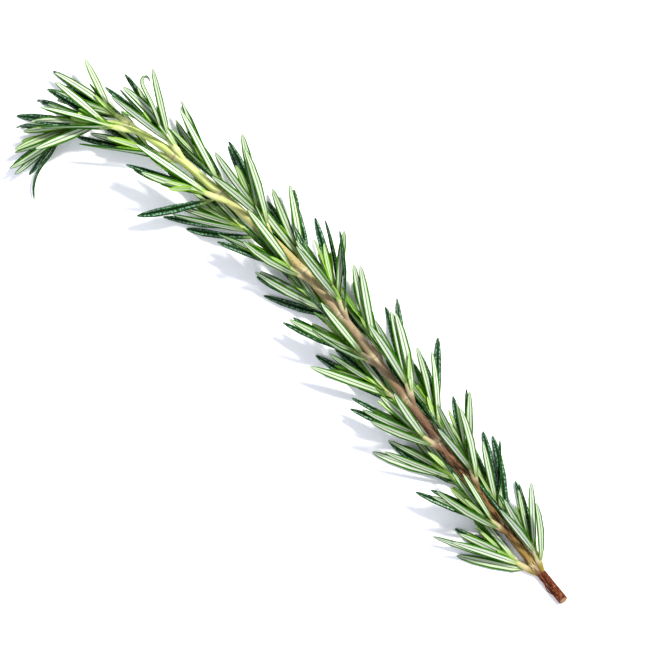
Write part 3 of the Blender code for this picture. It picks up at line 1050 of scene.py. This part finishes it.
# %% Leaves of a side shoot
UNDER_LEAF_RISE = 0.45
UNDER_LEAF_LEAN = 44.0
UNDER_LEAF_LEAN_SPREAD = 7
UNDER_LEAF_BENDS = (-26, -6)
UNDER_LEAF_TURN_SPREAD = 10
UNDER_LEAF_LENGTH = 25.5
LEAN_SHARES = [(0, 1.0), (150, 1.0), (205, 0.4)]
PAIR_LEAN_SPREAD = 6
PAIR_BENDS = (-12, 6)
PAIR_TURN_SPREAD = 16
# Which point of the core's line, the lean in degrees, the length, and the share of the width.
SHOOT_PAIRS = [
    (2, 25.0, 25.5, 1.0),
    (3, 23.0, 24.5, 1.0),
    (4, 19.0, 21.5, 0.9),
    (5, 12.0, 16.0, 0.72),
]
BROAD_LEAF_ON = "side_shoot_10_left"
BROAD_LEAF_TURN = -48.0
BROAD_LEAF_LEAN = 56.0
BROAD_LEAF_BEND = -6.0
BROAD_LEAF_LENGTH = 25.6
BROAD_LEAF_HALF_WIDTH = 1.8


def grow_side_shoot(k, name, round_at):
    """The shoot in the corner of a leaf at joint k: that leaf, and then its own pairs."""
    shoot, line, (along, out, side) = start_side_shoot(k, name, round_at)
    closeness = between(LEAN_SHARES, JOINTS[k])
    turn = draw.uniform(-UNDER_LEAF_TURN_SPREAD, UNDER_LEAF_TURN_SPREAD)
    shape = drawn_shape(
        UNDER_LEAF_LEAN * closeness, UNDER_LEAF_LEAN_SPREAD, UNDER_LEAF_BENDS, UNDER_LEAF_LENGTH, 1.0
    )
    face_up = SHOWS_UPPER_FACE
    if name == BROAD_LEAF_ON:
        turn = BROAD_LEAF_TURN
        shape = (BROAD_LEAF_LEAN, BROAD_LEAF_BEND, BROAD_LEAF_LENGTH, BROAD_LEAF_HALF_WIDTH)
        face_up = 1.0
    add_leaf(shoot, line[0] + out * UNDER_LEAF_RISE, (along, out, side), turn, shape, face_up)
    for j, (i, lean, leaf_length, width) in enumerate(SHOOT_PAIRS):
        way = (line[i + 1] - line[i - 1]).normalized()
        for opposite in OPPOSITE:
            start = line[i] + way * draw.uniform(-ROOT_SPREAD, ROOT_SPREAD)
            turn = QUARTER_TURN * j + opposite + draw.uniform(-PAIR_TURN_SPREAD, PAIR_TURN_SPREAD)
            shape = drawn_shape(lean * closeness, PAIR_LEAN_SPREAD, PAIR_BENDS, leaf_length, width)
            add_leaf(shoot, start, (way, side, way.cross(side)), turn, shape)


print("a side shoot has up to", 1 + 2 * len(SHOOT_PAIRS), "leaves")

# %% [markdown]
# ## Growing the whole sprig
#
# Rosemary is built by one rule. Two shoots stand opposite each other at a joint, and the next pair stands
# a quarter turn round from them. Where the stem lies low, a shoot that would grow into the table stands
# further up its side. The joints are filled from the tip down. The leaves could be placed one by one, but
# the rule is short, fills the far side too, and still holds when a size is changed.

# %% Grow the sprig
FIRST_PAIR_AT = 138.0
JOINT_TURN_SPREAD = 12
FOOT_HEIGHT = 1.15


def above_surface(k, round_at):
    """The turn round joint k, less steep where a foot would otherwise be too low."""
    height = route.at(JOINTS[k])[0].z
    lowest = max(-1.0, (FOOT_HEIGHT - height) / (stem_radius(JOINTS[k]) + CLEARANCE))
    if math.sin(math.radians(round_at)) >= lowest:
        return round_at
    steepest = math.degrees(math.asin(lowest))
    return steepest if math.cos(math.radians(round_at)) > 0 else 180 - steepest


for k in reversed(range(len(JOINTS))):
    aside = draw.uniform(-JOINT_TURN_SPREAD, JOINT_TURN_SPREAD)
    round_at = FIRST_PAIR_AT + QUARTER_TURN * k + aside
    ways = [above_surface(k, round_at + opposite) for opposite in OPPOSITE]
    ways.sort(key=lambda way: math.cos(math.radians(way)), reverse=True)
    for way, hand in zip(ways, ("left", "right")):
        grow_side_shoot(k, f"side_shoot_{k + 1:02d}_{hand}", way)
leaf_count = sum(len(shoot.leaves) for shoot in shoots)
print(f"{leaf_count} leaves on {len(shoots)} shoots, {len(left_out)} left out")

# %% [markdown]
# ## The pattern of one leaf
#
# A rosemary leaf is a flat blade whose edges are rolled under. Cut across, it shows a raised upper face
# with a sunken middle line, two thick rounded edges, and between them a hollow with the rib in it. One
# small pattern mesh holds that section at seven places along the leaf. It is straight and has no size of
# its own. Each corner only stores where it belongs: how far along, how far across and how high.

# %% The leaf's section and outline
# Across from the middle line, height in millimetres, and 1 above, 0 on the edge and -1 below.
LEAF_SECTION = [
    (1.00, -0.02, 0.0),
    (0.80, 0.24, 1.0),
    (0.36, 0.40, 1.0),
    (0.00, 0.14, 1.0),
    (-0.36, 0.40, 1.0),
    (-0.80, 0.24, 1.0),
    (-1.00, -0.02, 0.0),
    (-0.86, -0.30, -1.0),
    (-0.62, -0.13, -1.0),
    (0.00, -0.24, -1.0),
    (0.62, -0.13, -1.0),
    (0.86, -0.30, -1.0),
]
# Share of the length, share of the half-width, and share of the height.
LEAF_RINGS = [
    (0.00, 0.36, 0.9),
    (0.22, 0.86, 1.0),
    (0.52, 1.00, 1.0),
    (0.77, 0.86, 0.95),
    (0.92, 0.55, 0.78),
    (0.98, 0.28, 0.50),
    (1.00, 0.10, 0.25),
]


def leaf_pattern(rings):
    """A straight closed blade with the given rings. Its corners store their places as numbers."""
    corners = [
        (share, across, across * width, height * thickness * MM, over)
        for share, width, thickness in rings
        for across, height, over in LEAF_SECTION
    ]
    sides = len(LEAF_SECTION)
    last = sides * (len(rings) - 1)
    faces = [tuple(range(sides)), tuple(reversed(range(last, last + sides)))]
    for start in range(0, last, sides):
        for i in range(sides):
            j = (i + 1) % sides
            faces.append((start + j, start + i, start + sides + i, start + sides + j))
    mesh = bpy.data.meshes.new("leaf_pattern")
    mesh.from_pydata([(wide, share, high) for share, _, wide, high, _ in corners], [], faces)
    for name, values in zip(("length_share", "across", "wide", "high", "over"), zip(*corners)):
        mesh.attributes.new(name, "FLOAT", "POINT").data.foreach_set("value", values)
    made = bpy.data.objects.new("leaf_pattern", mesh)
    bpy.context.scene.collection.objects.link(made)
    return made


pattern = leaf_pattern(LEAF_RINGS)
print("the leaf pattern has", len(pattern.data.polygons), "faces")

# %% [markdown]
# ## Building geometry trees
#
# A geometry tree is a node graph whose wires can carry a whole mesh. `new_tree` begins one and gives it
# named inputs, which become the values that a reader can change. Its sums use the same `Wire` as the
# finishes do. `grown_mesh` puts the tree on a mesh of bare lines, reads off what it makes as a plain mesh,
# and clears the lines away, because a finished piece carries no live modifier.

# %% Helpers inside a geometry tree
def new_tree(name, sizes):
    """A geometry tree with named inputs for its sizes, its graph, and its inputs as wires."""
    tree = bpy.data.node_groups.new(name, "GeometryNodeTree")
    tree.interface.new_socket("Geometry", in_out="INPUT", socket_type="NodeSocketGeometry")
    tree.interface.new_socket("Geometry", in_out="OUTPUT", socket_type="NodeSocketGeometry")
    for label, (kind, value) in sizes.items():
        socket = tree.interface.new_socket(label, in_out="INPUT", socket_type=kind)
        if kind != "NodeSocketObject":
            socket.default_value = value
    graph = Graph(tree)
    return tree, graph, graph.node("NodeGroupInput")


def carried(graph, name, kind="FLOAT"):
    """A value that the geometry carries, by name."""
    return graph.node("GeometryNodeInputNamedAttribute", {"data_type": kind}, {"Name": name})[0]


def keep(graph, geometry, name, value, kind="FLOAT"):
    """The geometry with a value stored on its points."""
    sockets = {"Geometry": geometry, "Name": name, "Value": value}
    return graph.node("GeometryNodeStoreNamedAttribute", {"data_type": kind}, sockets)[0]


def vector(graph, operation, *values):
    """Vector maths. The last value of SCALE is a number."""
    sockets = dict(enumerate(values))
    if operation == "SCALE":
        sockets = {0: values[0], "Scale": values[1]}
    return graph.node("ShaderNodeVectorMath", {"operation": operation}, sockets)[0]


def finished(graph, geometry, finish_selections):
    """Smooth shading, real geometry and the finishes: the end of every tree here."""
    smooth = graph.node("GeometryNodeSetShadeSmooth", {}, {"Geometry": geometry})[0]
    result = graph.node("GeometryNodeRealizeInstances", {}, {"Geometry": smooth})[0]
    for finish, selection in finish_selections:
        sockets = {"Geometry": result, "Selection": selection, "Material": finish}
        result = graph.node("GeometryNodeSetMaterial", {}, sockets)[0]
    graph.node("NodeGroupOutput", {}, {0: result})


print("every tree ends in smooth faces, real geometry and a material")

# %% From lines to a plain mesh
def grown_mesh(name, tree, lines, sizes):
    """The plain mesh that a tree makes from a mesh of lines."""
    holder = bpy.data.objects.new(name + "_lines", lines)
    bpy.context.scene.collection.objects.link(holder)
    nodes = holder.modifiers.new(tree.name, "NODES")
    nodes.node_group = tree
    for item in tree.interface.items_tree:
        if item.name in sizes:
            nodes[item.identifier] = sizes[item.name]
    bpy.context.view_layer.update()
    solid = holder.evaluated_get(bpy.context.evaluated_depsgraph_get())
    made = bpy.data.meshes.new_from_object(solid)
    made.name = name
    holder.modifiers.clear()
    bpy.data.objects.remove(holder)
    return made


print(len(bpy.data.node_groups), "trees so far")

# %% [markdown]
# ## A tree that dresses lines with leaves
#
# Every leaf is the same pattern on another line, which is work for Geometry Nodes. The tree is given the
# spines of one shoot's leaves as bare lines. It makes one copy of the pattern for each spine, then sends
# each corner to its place: so far along the spine, so far to the side, so far up from it. The shoot's own
# slim stem comes as one more line, the only one with a radius, and gets a round skin. The inputs are the
# pattern, the width of the leaves, where 1 leaves them as they grew, and the sides of the slim stem.

# %% The tree for a leafy shoot
def leafy_shoot_tree():
    sizes = {
        "Leaf pattern": ("NodeSocketObject", None),
        "Leaf width": ("NodeSocketFloat", 1.0),
        "Stem sides": ("NodeSocketInt", 8),
    }
    tree, graph, inputs = new_tree("leafy_shoot", sizes)
    is_stem = carried(graph, "stem_radius") > 0.0
    split = graph.node("GeometryNodeSeparateGeometry", {}, {0: inputs["Geometry"], 1: is_stem})
    stem_line = graph.node("GeometryNodeMeshToCurve", {}, {0: split[0]})[0]
    spines = graph.node("GeometryNodeMeshToCurve", {}, {0: split[1]})[0]

    size = graph.node("GeometryNodeAttributeDomainSize", {"component": "CURVE"}, {0: spines})
    spots = graph.node("GeometryNodePoints", {}, {"Count": size["Spline Count"]})[0]
    spots = keep(graph, spots, "spine", graph.node("GeometryNodeInputIndex")[0], "INT")
    blade = graph.node("GeometryNodeObjectInfo", {}, {"Object": inputs["Leaf pattern"]})["Geometry"]
    copies = graph.node("GeometryNodeInstanceOnPoints", {}, {"Points": spots, "Instance": blade})[0]
    blades = graph.node("GeometryNodeRealizeInstances", {}, {"Geometry": copies})[0]

    def along_spine(name, kind):
        settings = {"data_type": kind, "mode": "FACTOR"}
        return graph.node("GeometryNodeSampleCurve", settings, {
            "Curves": spines,
            "Value": carried(graph, name, kind),
            "Factor": carried(graph, "length_share"),
            "Curve Index": carried(graph, "spine", "INT"),
        })

    facing = along_spine("facing", "FLOAT_VECTOR")
    half_width = along_spine("half_width", "FLOAT")[0] * inputs["Leaf width"]
    side = vector(graph, "NORMALIZE", vector(graph, "CROSS_PRODUCT", facing[0], facing["Tangent"]))
    sideways = vector(graph, "SCALE", side, carried(graph, "wide") * half_width)
    upwards = vector(graph, "SCALE", facing[0], carried(graph, "high"))
    place = vector(graph, "ADD", facing["Position"], vector(graph, "ADD", sideways, upwards))
    for name in ("age", "tone"):
        blades = keep(graph, blades, name, along_spine(name, "FLOAT")[0])
    blades = graph.node("GeometryNodeSetPosition", {}, {"Geometry": blades, "Position": place})[0]

    ring_sockets = {"Resolution": inputs["Stem sides"], "Radius": 1.0}
    ring = graph.node("GeometryNodeCurvePrimitiveCircle", {}, ring_sockets)[0]
    skin_of_stem = graph.node("GeometryNodeCurveToMesh", {}, {
        "Curve": stem_line,
        "Profile Curve": ring,
        "Scale": carried(graph, "stem_radius"),
        "Fill Caps": True,
    })[0]
    joined = graph.node("GeometryNodeJoinGeometry", {}, {0: [blades, skin_of_stem]})[0]
    finished(graph, joined, [(leaf_finish, True), (shoot_finish, is_stem)])
    return tree


leafy_shoot = leafy_shoot_tree()
print("the leafy shoot's tree has", len(leafy_shoot.nodes), "nodes")

# %% [markdown]
# ## The youngest leaves
#
# In the corner of every pair sits a bunch of leaves that have only just opened: thin, short, bright green
# and almost in line with the shoot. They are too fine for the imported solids, and they stay inside the
# space of the larger leaves, so they are added here. The same `Leaf` draws them, evenly round the outer
# two thirds of the shoot's own stem.

# %% Young leaves in each bunch
BUNCH_SEED = 23
BUNCH_SIZE = 9
BUNCH_TURN_SPREAD = 0.3
BUNCH_LEANS = (4.0, 24.0)
BUNCH_BENDS = (-14, 8)
BUNCH_LENGTHS = (7.0, 15.5)
BUNCH_HALF_WIDTHS = (0.48, 0.82)
bunch = random.Random(BUNCH_SEED)


def young_leaves(shoot):
    """A bunch of thin leaves round the last part of a shoot's own stem."""
    line = shoot.line
    leaves = []
    for i in range(BUNCH_SIZE):
        k = bunch.randrange(len(line) // 3, len(line) - 1)
        way = (line[k + 1] - line[k - 1]).normalized()
        turned = i + bunch.uniform(-BUNCH_TURN_SPREAD, BUNCH_TURN_SPREAD)
        out = Matrix.Rotation(math.tau * turned / BUNCH_SIZE, 3, way) @ way.orthogonal().normalized()
        leaves.append(Leaf(
            line[k], way, out,
            bunch.uniform(*BUNCH_LEANS), bunch.uniform(*BUNCH_BENDS), bunch.uniform(*BUNCH_LENGTHS),
            bunch.uniform(*BUNCH_HALF_WIDTHS), bunch.uniform(-SWEEP, SWEEP), bunch.uniform(-TWIST, TWIST),
            bunch.choice((-1, 1)), LEAF_FLOOR[0],
        ))
    return leaves


bunches = {shoot.name: young_leaves(shoot) for shoot in shoots}
print(sum(len(leaves) for leaves in bunches.values()), "young leaves")

# %% [markdown]
# ## Growing the leafy shoots
#
# Each shoot's spines become one mesh of bare lines. Their points carry what the tree asks for: which way
# the upper face looks, half the leaf's width, its age and its tone. The short inner leaves are the young
# ones, so age follows from length. The shoot's slim stem carries its radius and how far it is from the
# root. `in_metres` takes a point from the route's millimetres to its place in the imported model.

# %% Meshes of bare lines
def in_metres(point):
    return (point - REST_SPOT) * MM


def lines_mesh(name, lines):
    """A mesh of separate lines. Each is its points and a dictionary of what each point carries."""
    mesh = bpy.data.meshes.new(name)
    edges, start = [], 0
    for points, _ in lines:
        edges += [(start + i, start + i + 1) for i in range(len(points) - 1)]
        start += len(points)
    mesh.from_pydata([in_metres(p) for points, _ in lines for p in points], edges, [])
    for key in lines[0][1]:
        values = [value for _, extra in lines for value in extra[key]]
        kind = "FLOAT_VECTOR" if isinstance(values[0], Vector) else "FLOAT"
        data = mesh.attributes.new(key, kind, "POINT").data
        if kind == "FLOAT":
            data.foreach_set("value", values)
        else:
            data.foreach_set("vector", [x for value in values for x in value])
    return mesh


print(f"the middle of the cut end is {in_metres(route.points[0]).z / MM:.2f} mm up")

# %% Lines for each shoot
SHOOT_RADII = [(0.0, 0.8), (0.18, 1.15), (0.40, 0.95), (1.0, 0.5)]
TUFT_RADII = [(0.0, 0.9), (1.0, 0.45)]
YOUNG_LENGTH = 9.0
GROWN_LENGTH = 19.0
TONE_SEED = 5
tones = random.Random(TONE_SEED)


def length_of(points):
    return sum((b - a).length for a, b in zip(points, points[1:]))


def spine_line(leaf, s):
    """A leaf's spine, with what the tree and the finish ask of it."""
    count = len(leaf.points)
    age = (length_of(leaf.points) - YOUNG_LENGTH) / (GROWN_LENGTH - YOUNG_LENGTH)
    return leaf.points, {
        "facing": leaf.faces_to,
        "half_width": [leaf.half_width * MM] * count,
        "age": [clamped(age)] * count,
        "tone": [tones.random()] * count,
        "stem_radius": [0.0] * count,
        "from_root": [0.0] * count,
        "s": [s] * count,
    }


def shoot_lines(shoot):
    """The spines of a shoot's leaves, and the line of its own stem."""
    lines = [spine_line(leaf, shoot.s) for leaf in shoot.leaves + bunches[shoot.name]]
    count = len(shoot.line)
    radii = TUFT_RADII if shoot.name == "tip_tuft" else SHOOT_RADII
    lines.append((shoot.line, {
        "facing": [UP] * count,
        "half_width": [0.0] * count,
        "age": [0.0] * count,
        "tone": [0.0] * count,
        "stem_radius": [between(radii, i / (count - 1)) * MM for i in range(count)],
        "from_root": [i / (count - 1) for i in range(count)],
        "s": [shoot.s] * count,
    }))
    return lines_mesh(shoot.name, lines)


shoot = shoots[0]
print(shoot.name, "has", len(shoot.leaves) + len(bunches[shoot.name]), "spines and a stem line")

# %% Leafy shoots
def show(name, mesh, node=None):
    """Puts a finished piece in the scene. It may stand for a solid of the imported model."""
    made = bpy.data.objects.new(name, mesh)
    bpy.context.scene.collection.objects.link(made)
    if node:
        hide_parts(node)
    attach(made, "root")


face_count = 0
for shoot in shoots:
    name = "leafy_" + shoot.name
    mesh = grown_mesh(name, leafy_shoot, shoot_lines(shoot), {"Leaf pattern": pattern})
    show(name, mesh, shoot.name)
    face_count += len(mesh.polygons)
print(len(shoots), "leafy shoots,", face_count, "faces")

# %% [markdown]
# ## Two leaves with bends of their own
#
# Two leaves don't follow the rule. One at the tip has gone limp: it hangs down to the table and shows its
# upper face almost edge-on. One on a side shoot has curled back into a hook, with its pale underside
# inside. Each has a spine through a few points, chosen to stay clear of the leaves beside it. The same
# tree gives them their blades, from a pattern with more rings than the others have.

# %% Spines of the two bent leaves
LIMP_SPINE = [
    (212.5, -21.5, 7.6),
    (211.5, -17.6, 6.2),
    (211.2, -13.7, 5.0),
    (211.4, -9.8, 3.9),
    (210.9, -5.9, 2.9),
    (209.4, -2.5, 1.9),
    (207.1, 0.3, 0.95),
]
HOOKED_SPINE = [
    (187.6, -40.6, 14.3),
    (190.2, -42.8, 18.5),
    (193.6, -44.9, 21.0),
    (196.8, -46.6, 22.6),
    (199.4, -47.9, 23.2),
    (200.8, -49.3, 23.2),
    (200.8, -50.6, 22.9),
    (199.8, -51.0, 22.4),
    (198.7, -50.4, 21.8),
]
for title, knots in (("limp", LIMP_SPINE), ("hooked", HOOKED_SPINE)):
    print(f"the {title} leaf ends {knots[-1][2]} mm up")

# %% Limp leaf and hooked leaf
LIMP_HALF_WIDTH = 0.6
LIMP_TILT = 30
HOOKED_HALF_WIDTH = 0.9
HOOKED_TILT = 220
BENT_STEPS = 40
BENT_RINGS = 24


class BentLeaf:
    """A leaf through given points. Its upper face looks to its right, turned up by tilt in degrees."""

    def __init__(self, knots, half_width, tilt):
        spine = Route(knots)
        tilt = math.radians(tilt)
        self.half_width = half_width
        self.points, self.faces_to = [], []
        for i in range(BENT_STEPS + 1):
            place, _, left, up = spine.at(spine.distance[-1] * i / BENT_STEPS)
            self.points.append(place)
            self.faces_to.append(up * math.sin(tilt) - left * math.cos(tilt))


def finer(rings, count):
    """The same outline at more places along the leaf."""
    widths = [(share, width) for share, width, _ in rings]
    thicknesses = [(share, thickness) for share, _, thickness in rings]
    shares = [i / (count - 1) for i in range(count)]
    return [(share, between(widths, share), between(thicknesses, share)) for share in shares]


fine_pattern = leaf_pattern(finer(LEAF_RINGS, BENT_RINGS))
bent_leaves = {
    "limp_leaf": BentLeaf(LIMP_SPINE, LIMP_HALF_WIDTH, LIMP_TILT),
    "hooked_leaf": BentLeaf(HOOKED_SPINE, HOOKED_HALF_WIDTH, HOOKED_TILT),
}
for name, leaf in bent_leaves.items():
    spine = lines_mesh(name, [spine_line(leaf, 0.0)])
    show(name, grown_mesh(name, leafy_shoot, spine, {"Leaf pattern": fine_pattern}))
    print(f"the {name} is {length_of(leaf.points):.0f} mm long")
for used in (pattern, fine_pattern):
    bpy.data.objects.remove(used)

# %% [markdown]
# ## The stem
#
# The stem is a round skin along the route, also made by a tree, because its radius, joints and bark all
# follow one rule along the line. The young part has four blunt ribs, the old part has rough bark. Both
# move the skin in or out by a height. The cut end is closed by a slanted face with its own finish, and
# where the stem lies on the table it is flat. The tree's parts are helpers of their own, so that each
# can be read alone.

# %% Parts of the stem's tree
RIBS_BEGIN = (110.0, 165.0)
ROUGH_BARK_ENDS = (60.0, 120.0)
SMOOTHER_BARK = 0.75
BARK_ALONG = 0.35
BARK_AROUND = 2.2


def tube_along(graph, line, sides):
    """A round skin along the line, whose points know where they are round it."""
    line = keep(graph, line, "along", graph.node("GeometryNodeInputTangent")[0], "FLOAT_VECTOR")
    line = graph.node("GeometryNodeSetCurveNormal", {"mode": "Z_UP"}, {"Curve": line})[0]
    ring = graph.node("GeometryNodeCurvePrimitiveCircle", {}, {"Resolution": sides, "Radius": 1.0})[0]
    spot = graph.node("ShaderNodeSeparateXYZ", {}, {0: graph.node("GeometryNodeInputPosition")[0]})
    ring = keep(graph, ring, "round_x", spot[0])
    ring = keep(graph, ring, "round_y", spot[1])
    return graph.node("GeometryNodeCurveToMesh", {}, {
        "Curve": line,
        "Profile Curve": ring,
        "Scale": carried(graph, "radius"),
        "Fill Caps": True,
    })[0]


def rib_and_bark_height(graph, rib_height, bark_height):
    """How far each point of the skin stands out. The ribs are the cosine of four times its angle."""
    s, x, y = (carried(graph, name) for name in ("s", "round_x", "round_y"))
    square = x * x
    ribs = 8 * square * square - 8 * square + 1
    coordinates = {0: s * BARK_ALONG, 1: x * BARK_AROUND, 2: y * BARK_AROUND}
    grain = graph.node("ShaderNodeCombineXYZ", {}, coordinates)[0]
    noise_sockets = {"Vector": grain, "Scale": 1.0, "Detail": 4.0}
    bark = graph.node("ShaderNodeTexNoise", {}, noise_sockets)[0] - 0.5
    rough = bark_height * (1 - SMOOTHER_BARK * s.between(*ROUGH_BARK_ENDS))
    return (rib_height * s.between(*RIBS_BEGIN) * ribs + rough * bark) * carried(graph, "out")


def moved(graph, geometry, direction, distance):
    sockets = {"Geometry": geometry, "Offset": vector(graph, "SCALE", direction, distance)}
    return graph.node("GeometryNodeSetPosition", {}, sockets)[0]


def pressed_flat(graph, geometry):
    """The geometry with nothing under the table."""
    spot = graph.node("ShaderNodeSeparateXYZ", {}, {0: graph.node("GeometryNodeInputPosition")[0]})
    coordinates = {0: spot[0], 1: spot[1], 2: spot[2].at_least(0.0)}
    place = graph.node("ShaderNodeCombineXYZ", {}, coordinates)[0]
    return graph.node("GeometryNodeSetPosition", {}, {"Geometry": geometry, "Position": place})[0]


print(f"ribs from {RIBS_BEGIN[0]:.0f} mm on, rough bark up to {ROUGH_BARK_ENDS[1]:.0f} mm")

# %% The tree for the stem
def stem_tree():
    sizes = {
        "Sides": ("NodeSocketInt", 20),
        "Rib height": ("NodeSocketFloat", 0.07 * MM),
        "Bark height": ("NodeSocketFloat", 0.16 * MM),
        "Cut slant": ("NodeSocketFloat", CUT_SLANT),
    }
    tree, graph, inputs = new_tree("ribbed_stem", sizes)
    line = graph.node("GeometryNodeMeshToCurve", {}, {0: inputs["Geometry"]})[0]
    tube = tube_along(graph, line, inputs["Sides"])

    place = graph.node("GeometryNodeInputPosition")[0]
    from_middle = vector(graph, "SUBTRACT", place, carried(graph, "centre", "FLOAT_VECTOR"))
    height = rib_and_bark_height(graph, inputs["Rib height"], inputs["Bark height"])
    tube = moved(graph, tube, vector(graph, "NORMALIZE", from_middle), height)

    raised = graph.node("ShaderNodeSeparateXYZ", {}, {0: from_middle})[2]
    slant = raised * inputs["Cut slant"] * (1 - carried(graph, "s").between(0.1, CUT_REACHES))
    tube = moved(graph, tube, carried(graph, "along", "FLOAT_VECTOR"), slant)
    tube = pressed_flat(graph, tube)
    finished(graph, tube, [(stem_finish, True), (cut_finish, carried(graph, "cut") > 0.5)])
    return tree


ribbed_stem = stem_tree()
print("the stem's tree has", len(ribbed_stem.nodes), "nodes")

# %% [markdown]
# ## Growing the stem
#
# The stem's line has a point every half millimetre, so that the joints swell smoothly and the bark has room
# for its grain. At the cut end a few rings grow from the middle to the edge in almost no length. They are
# the cut face. Every point carries how near it is to a joint, because the finish paints the swelling and
# its dark ring there.

# %% Grow the stem
STEM_STEP = 0.5
# Millimetres from the cut end, and the share of the radius.
CUT_RINGS = [(0.0, 0.02), (0.01, 0.35), (0.02, 0.7), (0.03, 0.95), (0.12, 1.0)]
RING_WIDTH = 0.28


def stem_lines():
    spots = [(s, share, 1.0 if share < 1 else 0.0) for s, share in CUT_RINGS]
    spots += [(STEM_STEP * i, 1.0, 0.0) for i in range(1, int(STEM_END / STEM_STEP) + 1)]
    nearest = [min(abs(s - joint) for joint in JOINTS) for s, _, _ in spots]
    points = [route.at(s)[0] for s, _, _ in spots]
    return lines_mesh("stem_line", [(points, {
        "s": [s for s, _, _ in spots],
        "radius": [stem_radius(s) * share * MM for s, share, _ in spots],
        "out": [share for _, share, _ in spots],
        "cut": [cut for _, _, cut in spots],
        "joint": [math.exp(-((gap / JOINT_SPREAD) ** 2)) for gap in nearest],
        "ring": [math.exp(-((gap / RING_WIDTH) ** 2)) for gap in nearest],
        "centre": [Vector(in_metres(p)) for p in points],
    })])


stem_mesh = grown_mesh("ribbed_stem", ribbed_stem, stem_lines(), {"Cut slant": CUT_SLANT})
show("ribbed_stem", stem_mesh, "main_stem")
print("the stem has", len(stem_mesh.polygons), "faces")

# %% [markdown]
# ## A sliver of bark
#
# Where the sprig was handled, a thin strip of bark has come loose on the side of the woody end. Both of
# its ends still hold, and between them it bows away from the stem, so its pale inner face shows. It is a
# flat ribbon of a few faces. It carries the numbers that the bark's finish reads, as the stem does.

# %% Sliver of bark
SLIVER_FROM = 3.4
SLIVER_TO = 7.6
SLIVER_TURN = math.radians(24)
SLIVER_SUNK = 0.05
SLIVER_BOW = 0.62
SLIVER_HALF_WIDTHS = [(0.0, 0.14), (0.4, 0.36), (1.0, 0.10)]
SLIVER_HALF_THICKNESS = 0.07
SLIVER_STEPS = 14
SLIVER_CARRIES = {"s": SLIVER_FROM, "round_x": 1.0, "round_y": 0.0, "out": 0.3}
# skin() makes an end face, then four faces for each step. The third of the four looks inwards.
INNER_FACE = 3


def sliver_ring(share):
    """Four corners round the strip at a share of its length, the two outer ones first."""
    s = SLIVER_FROM + (SLIVER_TO - SLIVER_FROM) * share
    place, along, left, up = route.at(s)
    out = left * math.cos(SLIVER_TURN) + up * math.sin(SLIVER_TURN)
    away = stem_radius(s) - SLIVER_SUNK + SLIVER_BOW * math.sin(math.pi * share)
    across = out.cross(along) * between(SLIVER_HALF_WIDTHS, share)
    lift = out * SLIVER_HALF_THICKNESS
    corners = (across + lift, lift - across, -across - lift, across - lift)
    return [in_metres(place + out * away + corner) for corner in corners]


points, faces = skin([sliver_ring(i / SLIVER_STEPS) for i in range(SLIVER_STEPS + 1)])
sliver_mesh = bpy.data.meshes.new("bark_sliver")
sliver_mesh.from_pydata(points, [], faces)
for key, number in SLIVER_CARRIES.items():
    sliver_mesh.attributes.new(key, "FLOAT", "POINT").data.foreach_set("value", [number] * len(points))
sliver_mesh.materials.append(stem_finish)
sliver_mesh.materials.append(cut_finish)
for face in sliver_mesh.polygons:
    face.material_index = 1 if face.index % 4 == INNER_FACE else 0
show("bark_sliver", sliver_mesh)
print("the sliver has", len(faces), "faces")
